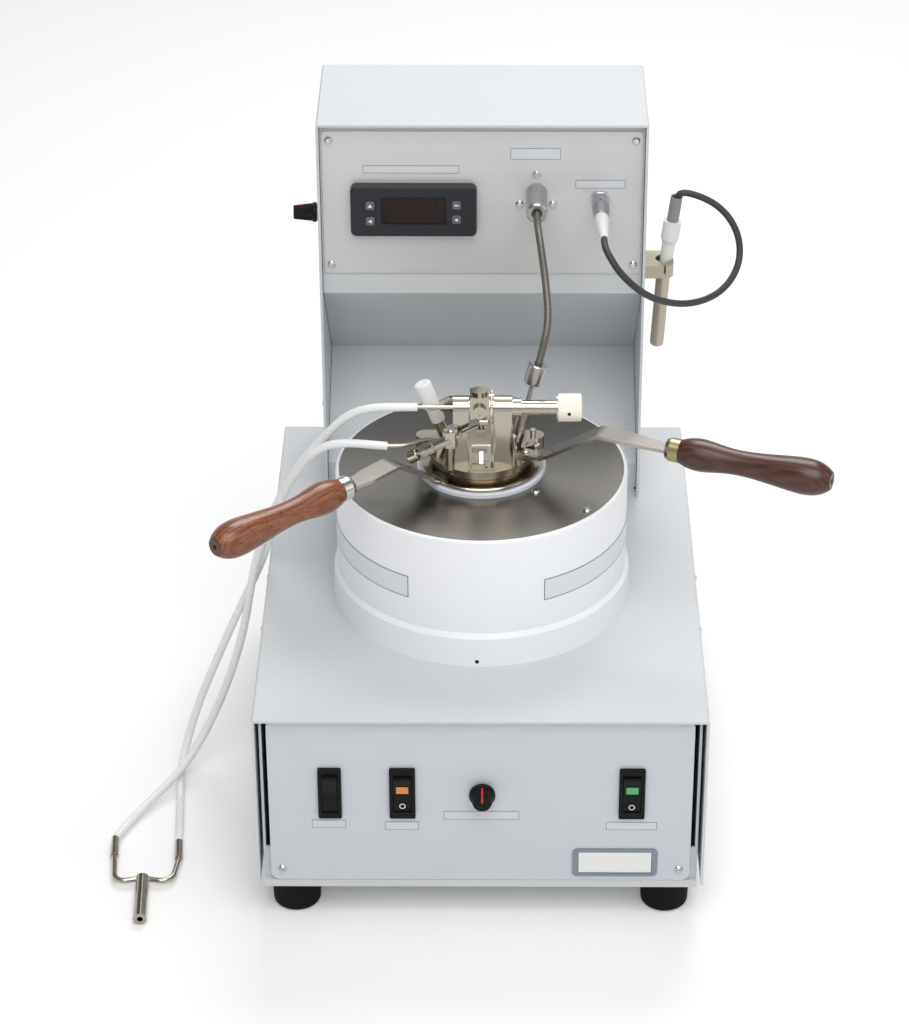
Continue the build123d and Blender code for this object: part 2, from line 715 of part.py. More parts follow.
def rocker_switch(name, face, frame_w, frame_h, rocker_w, rocker_h, rest_tilt):
    """A switch body in a panel cutout, and the rocker that tilts in it about the face's local x."""
    front = face.offset(FRAME_PROUD)
    reach = math.hypot(rocker_h / 2, PIVOT_DEPTH)
    with BuildPart() as body:
        with BuildSketch(face):
            RectangleRounded(frame_w, frame_h, FRAME_CORNER_R)
        extrude(amount=FRAME_PROUD)
        with BuildSketch(face):
            Rectangle(frame_w - 2 * FRAME_LEDGE, frame_h - 2 * FRAME_LEDGE)
        extrude(amount=-SWITCH_DEPTH)
        with BuildSketch(front):
            Rectangle(rocker_w + 2 * SLIP, 2 * reach + 2 * SLIP)
        extrude(amount=-(SWITCH_DEPTH - SWITCH_FLOOR), mode=Mode.SUBTRACT)
        with BuildSketch(side_section(front, PIVOT_DEPTH, rocker_w / 2 + PIVOT_LENGTH + HOLE_PLAY)):
            Circle(PIVOT_R + PLAY)
        extrude(amount=rocker_w + 2 * PIVOT_LENGTH + 2 * HOLE_PLAY, mode=Mode.SUBTRACT)
    keep(body, f"{name}_switch_body")
    with BuildPart() as rocker:
        section = side_section(front, PIVOT_DEPTH, rocker_w / 2, rest_tilt)
        rise = PIVOT_DEPTH + ROCKER_RISE - reach * math.tan(math.radians(ROCKER_TILT))
        end_rise = rise + 2 * reach * math.tan(math.radians(ROCKER_TILT))
        with BuildSketch(section):
            Circle(reach)
            with BuildLine():
                Polyline((-ROCKER_BACK, -2 * reach), (end_rise, -2 * reach), (rise, 0),
                         (end_rise, 2 * reach), (-ROCKER_BACK, 2 * reach), close=True)
            make_face(mode=Mode.INTERSECT)
        extrude(amount=rocker_w)
        with BuildSketch(side_section(front, PIVOT_DEPTH, rocker_w / 2 + PIVOT_LENGTH)):
            Circle(PIVOT_R)
        extrude(amount=rocker_w + 2 * PIVOT_LENGTH)
    keep(rocker, f"{name}_rocker")


rocker_switch("stirrer", front_plane(STIRRER_SWITCH_X, PLATE_Y, CONTROL_Z), NARROW_FRAME_W, FRAME_H,
              NARROW_ROCKER_W, NARROW_ROCKER_H, -ROCKER_TILT)
rocker_switch("cold", front_plane(COLD_SWITCH_X, PLATE_Y, CONTROL_Z), WIDE_FRAME_W, FRAME_H,
              WIDE_ROCKER_W, WIDE_ROCKER_H, -ROCKER_TILT)
rocker_switch("main", front_plane(MAIN_SWITCH_X, PLATE_Y, CONTROL_Z), WIDE_FRAME_W, FRAME_H,
              WIDE_ROCKER_W, WIDE_ROCKER_H, -ROCKER_TILT)
rocker_switch("side", left_plane(WALL_X, SIDE_SWITCH_Y, SIDE_SWITCH_Z), SIDE_FRAME_W, SIDE_FRAME_H,
              SIDE_ROCKER_W, SIDE_ROCKER_H, ROCKER_TILT)


def knob(name, face, length):
    """A tapered knob with a pointer groove and its spindle, turning about the face's normal."""
    skirt = face.offset(KNOB_STANDOFF)
    grip = length - KNOB_SKIRT
    with BuildPart() as turned:
        with BuildSketch(skirt):
            Circle(KNOB_BASE_R)
        extrude(amount=KNOB_SKIRT)
        with BuildSketch(skirt.offset(KNOB_SKIRT)):
            Circle(KNOB_BASE_R)
        extrude(amount=grip, taper=KNOB_TAPER)
        with BuildSketch(skirt.offset(length)):
            with Locations((0, KNOB_BASE_R / 2)):
                Rectangle(POINTER_W, KNOB_BASE_R)
        extrude(amount=-POINTER_DEPTH, mode=Mode.SUBTRACT)
        with BuildSketch(skirt):
            Circle(SPINDLE_R)
        extrude(amount=-SPINDLE_LENGTH)
    keep(turned, name)


HEATING_FACE = front_plane(HEATING_KNOB_X, PLATE_Y, CONTROL_Z)
SPEED_FACE = left_plane(WALL_X, SPEED_Y, SPEED_Z)
knob("heating_knob", HEATING_FACE, HEATING_KNOB_L)
knob("speed_knob", SPEED_FACE, SPEED_KNOB_L)

# Potentiometers: bush through the wall with its nut outside, and a body with a blind bore for the spindle.
with BuildPart() as potentiometers:
    for face, wall in ((HEATING_FACE, PLATE_T), (SPEED_FACE, SHEET)):
        with BuildSketch(face):
            Circle(POT_NUT_R)
        extrude(amount=POT_NUT_H)
        with BuildSketch(face):
            Circle(BUSH_R)
        extrude(amount=-wall)
        with BuildSketch(face.offset(-wall)):
            Circle(POT_R)
        extrude(amount=-(SPINDLE_LENGTH + POT_DEPTH - wall))
        with BuildSketch(face.offset(POT_NUT_H)):
            Circle(SPINDLE_R + PLAY)
        extrude(amount=-(POT_NUT_H + SPINDLE_LENGTH), mode=Mode.SUBTRACT)
keep(potentiometers, "potentiometers")

# Mains inlet: flange on the rear wall, a well and three flat pins.
INLET_FACE = Plane(origin=(INLET_X, TRAY_REAR, INLET_Z), x_dir=(-1, 0, 0), z_dir=(0, 1, 0))
with BuildPart() as mains_inlet:
    with BuildSketch(INLET_FACE):
        RectangleRounded(INLET_W, INLET_H, FRAME_CORNER_R)
    extrude(amount=INLET_FLANGE)
    with BuildSketch(INLET_FACE):
        Rectangle(INLET_BODY_W, INLET_BODY_H)
    extrude(amount=-INLET_DEPTH)
    with BuildSketch(INLET_FACE.offset(INLET_FLANGE)):
        Rectangle(INLET_WELL_W, INLET_WELL_H)
    extrude(amount=-INLET_WELL, mode=Mode.SUBTRACT)
    with BuildSketch(INLET_FACE.offset(INLET_FLANGE - INLET_WELL)):
        with Locations((-INLET_PIN_PITCH, -INLET_PIN_STAGGER), (INLET_PIN_PITCH, -INLET_PIN_STAGGER),
                       (0, INLET_PIN_STAGGER)):
            Rectangle(INLET_PIN[0], INLET_PIN[1])
    extrude(amount=INLET_PIN[2])
keep(mains_inlet, "mains_inlet")

# Control board on four standoffs, with its transformer and a heat sink.
BOARD_Z = TRAY_BOTTOM + SHEET + STANDOFF_H
with BuildPart() as control_board:
    with BuildSketch(Plane.XY.offset(TRAY_BOTTOM + SHEET)):
        with Locations((BOARD_X, BOARD_Y)):
            with GridLocations(BOARD[0] - 2 * STANDOFF_INSET, BOARD[1] - 2 * STANDOFF_INSET, 2, 2):
                Circle(STANDOFF_R)
    extrude(amount=STANDOFF_H)
    with BuildSketch(Plane.XY.offset(BOARD_Z)):
        with Locations((BOARD_X, BOARD_Y)):
            Rectangle(BOARD[0], BOARD[1])
    extrude(amount=BOARD[2])
    with BuildSketch(Plane.XY.offset(BOARD_Z + BOARD[2])):
        with Locations((TRANSFORMER_X, BOARD_Y)):
            Rectangle(TRANSFORMER[0], TRANSFORMER[1])
    extrude(amount=TRANSFORMER[2])
    with BuildSketch(Plane.XY.offset(BOARD_Z + BOARD[2])):
        with Locations((HEAT_SINK_X, BOARD_Y)):
            Rectangle(HEAT_SINK[0], HEAT_SINK[1])
    extrude(amount=HEAT_SINK[2])
keep(control_board, "control_board")

# ================================================================== bath
# White jacket, open below, with an inner ledge for the top plate.
with BuildPart() as bath_jacket:
    with BuildSketch(Plane.XZ.offset(-BATH_Y)):
        with BuildLine():
            Polyline(
                (JACKET_FOOT_R, COVER_TOP),
                (JACKET_FOOT_TOP_R, COVER_TOP + JACKET_FOOT_H),
                (JACKET_R, COVER_TOP + JACKET_FOOT_H + JACKET_SHOULDER),
                (JACKET_R, JACKET_TOP),
                (TOP_PLATE_R + HOLE_PLAY, JACKET_TOP),
                (TOP_PLATE_R + HOLE_PLAY, LEDGE_Z),
                (LEDGE_R, LEDGE_Z),
                (LEDGE_R, LEDGE_Z - LEDGE_H),
                (JACKET_R - JACKET_WALL, LEDGE_Z - LEDGE_H),
                (JACKET_R - JACKET_WALL, COVER_TOP),
                close=True,
            )
        make_face()
    revolve(axis=Axis((0, BATH_Y, 0), (0, 0, 1)))
    fillet(bath_jacket.edges().group_by(Axis.Z)[-1].sort_by(SortBy.RADIUS)[-1], JACKET_EDGE_R)
    for turn in BATH_SCREW_ANGLES:
        with Locations(Plane(origin=(BATH_SCREW_R * math.cos(math.radians(turn)),
                                     BATH_Y + BATH_SCREW_R * math.sin(math.radians(turn)), LEDGE_Z))):
            Hole(SCREW_R + HOLE_PLAY, depth=LEDGE_H)
keep(bath_jacket, "bath_jacket")

# Metal block with the well that the cup hangs in, and the band heater round it.
VESSEL_TOP = TOP_PLATE_TOP - TOP_PLATE_T - SEAT
WELL_BOTTOM = CUP_BOTTOM - WELL_FLOOR_GAP
with BuildPart() as bath_vessel:
    with BuildSketch(Plane.XY.offset(COVER_TOP)):
        with Locations((0, BATH_Y)):
            Circle(VESSEL_FOOT_R)
    extrude(amount=VESSEL_FOOT_H)
    with BuildSketch(Plane.XY.offset(COVER_TOP)):
        with Locations((0, BATH_Y)):
            Circle(VESSEL_R)
    extrude(amount=VESSEL_TOP - COVER_TOP)
    with BuildSketch(Plane.XY.offset(VESSEL_TOP)):
        with Locations((0, BATH_Y)):
            Circle(CUP_R + WELL_GAP)
    extrude(amount=-(VESSEL_TOP - WELL_BOTTOM), mode=Mode.SUBTRACT)
    with Locations((SMALL_SCREW_R * math.cos(math.radians(SMALL_SCREW_ANGLE)),
                    BATH_Y + SMALL_SCREW_R * math.sin(math.radians(SMALL_SCREW_ANGLE)), VESSEL_TOP)):
        Hole(SCREW_R + HOLE_PLAY, depth=SCREW_LENGTH)
keep(bath_vessel, "bath_vessel")

with BuildPart() as bath_heater:
    with BuildSketch(Plane.XY.offset(HEATER_Z)):
        with Locations((0, BATH_Y)):
            Circle(VESSEL_R + SLIP + HEATER_T)
            Circle(VESSEL_R + SLIP, mode=Mode.SUBTRACT)
    extrude(amount=HEATER_H)
keep(bath_heater, "bath_heater")

with BuildPart() as bath_top_plate:
    with BuildSketch(Plane.XY.offset(TOP_PLATE_TOP)):
        with Locations((0, BATH_Y)):
            Circle(TOP_PLATE_R)
            Circle(RING_SPIGOT_R + HOLE_PLAY, mode=Mode.SUBTRACT)
            for turn in BATH_SCREW_ANGLES:
                with Locations((BATH_SCREW_R * math.cos(math.radians(turn)),
                                BATH_SCREW_R * math.sin(math.radians(turn)))):
                    Circle(SCREW_R + HOLE_PLAY, mode=Mode.SUBTRACT)
            with Locations((SMALL_SCREW_R * math.cos(math.radians(SMALL_SCREW_ANGLE)),
                            SMALL_SCREW_R * math.sin(math.radians(SMALL_SCREW_ANGLE)))):
                Circle(SCREW_R + HOLE_PLAY, mode=Mode.SUBTRACT)
    extrude(amount=-TOP_PLATE_T)
keep(bath_top_plate, "bath_top_plate")

with BuildPart() as insulating_ring:
    with BuildSketch(Plane.XY.offset(TOP_PLATE_TOP)):
        with Locations((0, BATH_Y)):
            Circle(RING_R)
    extrude(amount=RING_H)
    with BuildSketch(Plane.XY.offset(TOP_PLATE_TOP)):
        with Locations((0, BATH_Y)):
            Circle(RING_SPIGOT_R)
    extrude(amount=-TOP_PLATE_T)
    with BuildSketch(Plane.XY.offset(RING_TOP)):
        with Locations((0, BATH_Y)):
            Circle(CUP_R + RING_BORE_GAP)
    extrude(amount=-(RING_H + TOP_PLATE_T), mode=Mode.SUBTRACT)
    fillet(insulating_ring.edges().group_by(Axis.Z)[-1].sort_by(SortBy.RADIUS)[-1], RING_EDGE_R)
keep(insulating_ring, "insulating_ring")

# ================================================================== test cup
with BuildPart() as test_cup:
    with BuildSketch(Plane.XZ.offset(-BATH_Y)):
        with BuildLine():
            Polyline(
                (0, CUP_BOTTOM),
                (CUP_R, CUP_BOTTOM),
                (CUP_R, FLANGE_BOTTOM),
                (FLANGE_R, FLANGE_BOTTOM),
                (FLANGE_R, FLANGE_TOP - FLANGE_BEVEL),
                (FLANGE_R - FLANGE_BEVEL, FLANGE_TOP),
                (CUP_R, FLANGE_TOP),
                (CUP_R, CUP_TOP),
                (CUP_R - CUP_WALL, CUP_TOP),
                (CUP_R - CUP_WALL, CUP_BOTTOM + CUP_FLOOR),
                (0, CUP_BOTTOM + CUP_FLOOR),
                close=True,
            )
        make_face()
    revolve(axis=Axis((0, BATH_Y, 0), (0, 0, 1)))
keep(test_cup, "test_cup")


def strap(angle, points, plan):
    """Adds a bent strap to the current part: its side view on the arm's plane, cut to its plan outline."""
    upright = arm_plane(angle)
    with BuildSketch(upright) as side_view:
        with BuildLine():
            FilletPolyline(*points, radius=ARM_BEND_R)
        trace(line_width=ARM_T)
    extrude(side_view.sketch, amount=ARM_W, both=True)
    level = Plane(origin=(0, BATH_Y, 0), x_dir=upright.x_dir, z_dir=(0, 0, 1))
    with BuildSketch(level) as plan_view:
        with BuildLine():
            Polyline(*plan, *[(x, -y) for x, y in reversed(plan)], close=True)
        make_face()
    extrude(plan_view.sketch, amount=COLUMN_TOP, mode=Mode.INTERSECT)


def ferrule(angle, start, z):
    """Adds the ferrule that joins a strap to its grip, along the arm."""
    upright = arm_plane(angle)
    outwards = Plane(origin=upright.from_local_coords((start, z, 0)), z_dir=upright.x_dir)
    with BuildSketch(outwards) as tip:
        Circle(FERRULE_TIP_R)
    with BuildSketch(outwards.offset(FERRULE_CONE)) as full:
        Circle(FERRULE_R)
    loft([tip.sketch.face(), full.sketch.face()])
    extrude(full.sketch, amount=FERRULE_L - FERRULE_CONE)


def wooden_grip(name, angle, start, z):
    """A turned grip along the arm: bulge, waist, palm swell and rounded end, with a hole in the end."""
    upright = arm_plane(angle)
    with BuildPart() as grip:
        with BuildSketch(upright):
            with BuildLine():
                swell = Spline(
                    (start, z + GRIP_NECK_R),
                    (start + GRIP_BULGE, z + GRIP_BULGE_R),
                    (start + GRIP_WAIST, z + GRIP_WAIST_R),
                    (start + GRIP_PALM, z + GRIP_PALM_R),
                    (start + GRIP_SHOULDER, z + GRIP_SHOULDER_R),
                    (start + GRIP_L, z + GRIP_END_R),
                )
                Polyline(swell @ 1, (start + GRIP_L, z), (start, z), swell @ 0)
            make_face()
        revolve(axis=Axis(upright.from_local_coords((0, z, 0)), upright.x_dir))
        with BuildSketch(Plane(origin=upright.from_local_coords((start + GRIP_L, z, 0)),
                               z_dir=upright.x_dir)):
            Circle(GRIP_HOLE_R)
        extrude(amount=-GRIP_HOLE, mode=Mode.SUBTRACT)
    keep(grip, name)


CUP_TAB_Z = FLANGE_TOP + ARM_T / 2
with BuildPart() as cup_handle_arm:
    strap(CUP_ARM_ANGLE,
          [(CUP_ARM_TAB, CUP_TAB_Z), (CUP_ARM_FOOT, CUP_TAB_Z), (CUP_ARM_BEND, CUP_GRIP_Z + ARM_T),
           (CUP_ARM_END, CUP_GRIP_Z)],
          [(CUP_ARM_TAB, ARM_ROOT_W / 2), (CUP_ARM_FOOT, ARM_ROOT_W / 2),
           (CUP_ARM_FOOT + ARM_W / 2, ARM_W / 2), (CUP_ARM_END - ARM_W, ARM_W / 2),
           (CUP_ARM_END, ARM_NECK_W / 2)])
    ferrule(CUP_ARM_ANGLE, CUP_ARM_END, CUP_GRIP_Z)
    EYE_PLANE = Plane(origin=arm_plane(CUP_ARM_ANGLE).from_local_coords(
        (CUP_ARM_END - EYE_R, CUP_GRIP_Z - ARM_T / 2 - EYE_R, 0)), z_dir=arm_plane(CUP_ARM_ANGLE).z_dir)
    with Locations(EYE_PLANE):
        Torus(EYE_R, EYE_WIRE_R)
keep(cup_handle_arm, "cup_handle_arm")
wooden_grip("cup_handle_grip", CUP_ARM_ANGLE, CUP_ARM_END + FERRULE_L, CUP_GRIP_Z)

LID_TAB_Z = LID_TOP + ARM_T / 2
TAB_SEAT = Plane(origin=arm_plane(LID_ARM_ANGLE).from_local_coords(
    ((LID_ARM_TAB + LID_R) / 2, LID_TOP + ARM_T, 0)))
with BuildPart() as lid_handle_arm:
    strap(LID_ARM_ANGLE,
          [(LID_ARM_TAB, LID_TAB_Z), (LID_ARM_FOOT, LID_TAB_Z), (LID_ARM_BEND, LID_GRIP_Z + ARM_T),
           (LID_ARM_END, LID_GRIP_Z)],
          [(LID_ARM_TAB, ARM_ROOT_W / 2), (LID_ARM_FOOT, ARM_ROOT_W / 2),
           (LID_ARM_FOOT + ARM_W / 2, ARM_W / 2), (LID_ARM_END - 2 * ARM_W, ARM_W / 2),
           (LID_ARM_END, ARM_NECK_W / 2)])
    ferrule(LID_ARM_ANGLE, LID_ARM_END, LID_GRIP_Z)
    with Locations(TAB_SEAT):
        Hole(LID_SCREW_R + HOLE_PLAY, depth=ARM_T)
keep(lid_handle_arm, "lid_handle_arm")
wooden_grip("lid_handle_grip", LID_ARM_ANGLE, LID_ARM_END + FERRULE_L, LID_GRIP_Z)

# ================================================================== lid
RIGHT_BLOCK_MIDDLE = (sum(RIGHT_BLOCK_X) / 2, sum(SIDE_BLOCK_Y) / 2)
BLOCK_SEAT = front_plane(RIGHT_BLOCK_MIDDLE[0] + BLOCK_SCREW_SHIFT, SIDE_BLOCK_Y[0],
                         LID_TOP + SIDE_BLOCK_H / 2)
PILOT_SEAT = Plane(origin=(sum(PILOT_BLOCK_X) / 2, PILOT_Y, PILOT_BLOCK_Z[1]))
THERMO = leaning(THERMO_X, BATH_Y, LID_TOP, THERMO_TILT)
STIRRER = leaning(STIRRER_X, BATH_Y, LID_TOP, STIRRER_TILT)

with BuildPart() as lid_plate:
    with BuildSketch(Plane.XY.offset(LID_BOTTOM)):
        with Locations((0, BATH_Y)):
            Circle(LID_R)
    extrude(amount=LID_T)
    with BuildSketch(Plane.XY.offset(LID_BOTTOM)):
        with Locations((0, BATH_Y)):
            Circle(SKIRT_R)
            Circle(CUP_R + SLIP, mode=Mode.SUBTRACT)
    extrude(amount=-SKIRT_H)
    with BuildSketch(Plane.XY.offset(LID_TOP)):
        with Locations((0, PORT_Y)):
            Rectangle(PORT_W, PORT_D)
        with Locations((THERMO_X, BATH_Y)):
            Circle(SOCKET_BORE_R)
        with Locations((STIRRER_X, BATH_Y)):
            Circle(ROD_R + LID_HOLE_PLAY)
    extrude(amount=-LID_T, mode=Mode.SUBTRACT)
    with Locations(TAB_SEAT):
        Hole(LID_SCREW_R + HOLE_PLAY, depth=ARM_T + LID_T)
keep(lid_plate, "lid_plate")

# Two waisted posts carry the trunnion shaft, and a bridge joins them behind.
with BuildPart() as lid_posts:
    for left, right in (LEFT_POST_X, RIGHT_POST_X):
        middle = (LID_TOP + TRUNNION_Z) / 2
        with BuildSketch(front_plane(0, TRUNNION_Y - POST_DEPTH / 2, 0)):
            with BuildLine():
                top_z = TRUNNION_Z + POST_TOP_R
                Line((left, LID_TOP), (right, LID_TOP))
                ThreePointArc((right, LID_TOP), (right - POST_WAIST, middle),
                              (right, TRUNNION_Z - POST_TOP_R))
                Line((right, TRUNNION_Z - POST_TOP_R), (right, top_z))
                Line((right, top_z), (left, top_z))
                Line((left, top_z), (left, TRUNNION_Z - POST_TOP_R))
                ThreePointArc((left, TRUNNION_Z - POST_TOP_R), (left + POST_WAIST, middle), (left, LID_TOP))
            make_face()
        extrude(amount=-POST_DEPTH)
    with BuildSketch(Plane.YZ.offset(BRIDGE_X[0])):
        with Locations((TRUNNION_Y, TRUNNION_Z)):
            Circle(POST_TOP_R)
        with Locations((TRUNNION_Y, (LID_TOP + TRUNNION_Z) / 2)):
            Rectangle(POST_DEPTH, TRUNNION_Z - LID_TOP)
    extrude(amount=BRIDGE_X[1] - BRIDGE_X[0], mode=Mode.INTERSECT)
    with BuildSketch(Plane.YZ.offset(RIGHT_POST_X[1])):
        with Locations((TRUNNION_Y, TRUNNION_Z)):
            Circle(SHAFT_R + PLAY)
    extrude(amount=-(RIGHT_POST_X[1] - LEFT_POST_X[1] + SHAFT_ENTRY + SLIP), mode=Mode.SUBTRACT)
    with BuildSketch(front_plane(0, TRUNNION_Y + POST_DEPTH / 2, 0)):
        with BuildLine():
            Polyline((BRIDGE_X[0], BRIDGE_Z[0]), (BRIDGE_X[1], BRIDGE_Z[0]),
                     (BRIDGE_X[1], BRIDGE_Z[1] - BRIDGE_TAPER / 2),
                     (BRIDGE_X[1] - BRIDGE_TAPER, BRIDGE_Z[1]),
                     (BRIDGE_X[0] + BRIDGE_TAPER, BRIDGE_Z[1]),
                     (BRIDGE_X[0], BRIDGE_Z[1] - BRIDGE_TAPER / 2), close=True)
        make_face()
    extrude(amount=-BRIDGE_T)
    with BuildSketch(front_plane(0, TRUNNION_Y + POST_DEPTH / 2, 0)):
        with Locations(((RIGHT_POST_X[0] + DISC_X[0] - SLIP) / 2, sum(BRIDGE_Z) / 2)):
            Rectangle(RIGHT_POST_X[0] - DISC_X[0] + SLIP, BRIDGE_Z[1] - BRIDGE_Z[0])
    extrude(amount=-BRIDGE_T, mode=Mode.SUBTRACT)
keep(lid_posts, "lid_posts")

# Two side blocks on the lid's rim, each with rounded outer corners.
with BuildPart() as side_blocks:
    for left, right in (RIGHT_BLOCK_X, LEFT_BLOCK_X):
        with BuildSketch(Plane.XY.offset(LID_TOP)):
            with Locations(((left + right) / 2, sum(SIDE_BLOCK_Y) / 2)):
                Rectangle(right - left, SIDE_BLOCK_Y[1] - SIDE_BLOCK_Y[0])
        extrude(amount=SIDE_BLOCK_H)
    corners = side_blocks.edges().filter_by(Axis.Z).sort_by(Axis.X)
    fillet(corners[:2] + corners[-2:], SIDE_BLOCK_R)
    with Locations(BLOCK_SEAT):
        Hole(LID_SCREW_R + HOLE_PLAY, depth=LID_SCREW_L + HOLE_PLAY)
keep(side_blocks, "side_blocks")

# Small dome screws, the stud on the right block and the latch pin beside the gland.
with BuildPart() as lid_screws:
    for seat in (TAB_SEAT, BLOCK_SEAT, PILOT_SEAT):
        dome_screw(seat, LID_SCREW_R, LID_SCREW_L, LID_SCREW_HEAD_R, LID_SCREW_HEAD_H)
    with BuildSketch(Plane.XY.offset(LID_TOP + SIDE_BLOCK_H)):
        with Locations((RIGHT_BLOCK_MIDDLE[0] - BLOCK_SCREW_SHIFT, RIGHT_BLOCK_MIDDLE[1])):
            Circle(STUD_R)
    extrude(amount=STUD_H)
    with BuildSketch(Plane.XY.offset(LID_TOP)):
        with Locations((LATCH_X, LATCH_Y)):
            Circle(LATCH_R)
    extrude(amount=LATCH_H)
    with Locations((LATCH_X, LATCH_Y, LID_TOP + LATCH_H)):
        Sphere(LATCH_BALL_R)
keep(lid_screws, "lid_screws")

# Thermometer socket and stirrer gland: inclined tubes cut level where they stand on the lid.
with BuildPart() as lid_sockets:
    with BuildSketch(THERMO):
        Circle(SOCKET_R)
        Circle(SOCKET_BORE_R, mode=Mode.SUBTRACT)
    extrude(amount=SOCKET_L)
    with BuildSketch(THERMO):
        Circle(SOCKET_R)
        Circle(SOCKET_BORE_R, mode=Mode.SUBTRACT)
    extrude(amount=-SOCKET_R)
    with BuildSketch(STIRRER.offset(GLAND_L)):
        Circle(GLAND_R)
        Circle(ROD_R + PLAY, mode=Mode.SUBTRACT)
    extrude(amount=-(GLAND_L + GLAND_R))
    with BuildSketch(STIRRER.offset(GLAND_L)):
        Circle(GLAND_COLLAR_R)
        Circle(ROD_R + PLAY, mode=Mode.SUBTRACT)
    extrude(amount=-GLAND_COLLAR_L)
    split(bisect_by=Plane.XY.offset(LID_TOP), keep=Keep.TOP)
keep(lid_sockets, "lid_sockets")

# Stopper: head above the socket, spigot inside it.
with BuildPart() as thermometer_stopper:
    with BuildSketch(THERMO.offset(SOCKET_L + SEAT)):
        Circle(STOPPER_R)
    extrude(amount=STOPPER_L)
    fillet(thermometer_stopper.edges().filter_by(GeomType.CIRCLE), STOPPER_EDGE)
    with BuildSketch(THERMO.offset(SOCKET_L + SEAT)):
        Circle(SOCKET_BORE_R - PLAY)
    extrude(amount=-STOPPER_SPIGOT_L)
keep(thermometer_stopper, "thermometer_stopper")

# Stirrer: coupling with a well for the flexible shaft, rod, hub and two blades.
with BuildPart() as stirrer_shaft:
    with BuildSketch(STIRRER.offset(ROD_BOTTOM)):
        Circle(ROD_R)
    extrude(amount=COUPLING_START - ROD_BOTTOM)
    with BuildSketch(STIRRER.offset(COUPLING_START)):
        Circle(COUPLING_R)
    extrude(amount=COUPLING_L)
    chamfer(stirrer_shaft.edges().group_by(Axis.Z)[-1], COUPLING_EDGE)
    with BuildSketch(STIRRER.offset(COUPLING_START + COUPLING_L)):
        Circle(COUPLING_WELL_R)
    extrude(amount=-COUPLING_WELL, mode=Mode.SUBTRACT)
    with BuildSketch(STIRRER.offset(ROD_BOTTOM)):
        Circle(BLADE_HUB_R)
    extrude(amount=BLADE_HUB_L)
    with BuildSketch(STIRRER.offset(ROD_BOTTOM + (BLADE_HUB_L - BLADE_W) / 2)):
        Rectangle(2 * BLADE_R, BLADE_T)
    extrude(amount=BLADE_W)
keep(stirrer_shaft, "stirrer_shaft")

# Trunnion shaft with a collar outside the right post and the knurled knob.
SHAFT_LEFT = LEFT_POST_X[1] - SHAFT_ENTRY
with BuildPart() as tilt_shaft:
    with BuildSketch(Plane.YZ.offset(SHAFT_LEFT)):
        with Locations((TRUNNION_Y, TRUNNION_Z)):
            Circle(SHAFT_R)
    extrude(amount=SHAFT_RIGHT - SHAFT_LEFT)
    with BuildSketch(Plane.YZ.offset(RIGHT_POST_X[1] + SLIP)):
        with Locations((TRUNNION_Y, TRUNNION_Z)):
            Circle(COLLAR_R)
    extrude(amount=COLLAR_L)
    with BuildSketch(Plane.YZ.offset(SHAFT_RIGHT)):
        with Locations((TRUNNION_Y, TRUNNION_Z)):
            Circle(TILT_KNOB_R)
    extrude(amount=TILT_KNOB_L)
    chamfer(tilt_shaft.edges().filter_by(GeomType.CIRCLE).sort_by(Axis.X)[-1], TILT_KNOB_EDGE)
    with BuildSketch(front_plane(SHAFT_RIGHT + TILT_KNOB_L / 2, TRUNNION_Y - TILT_KNOB_R, TRUNNION_Z)):
        Circle(SET_HOLE_R)
    extrude(amount=-SET_HOLE, mode=Mode.SUBTRACT)
keep(tilt_shaft, "tilt_shaft")

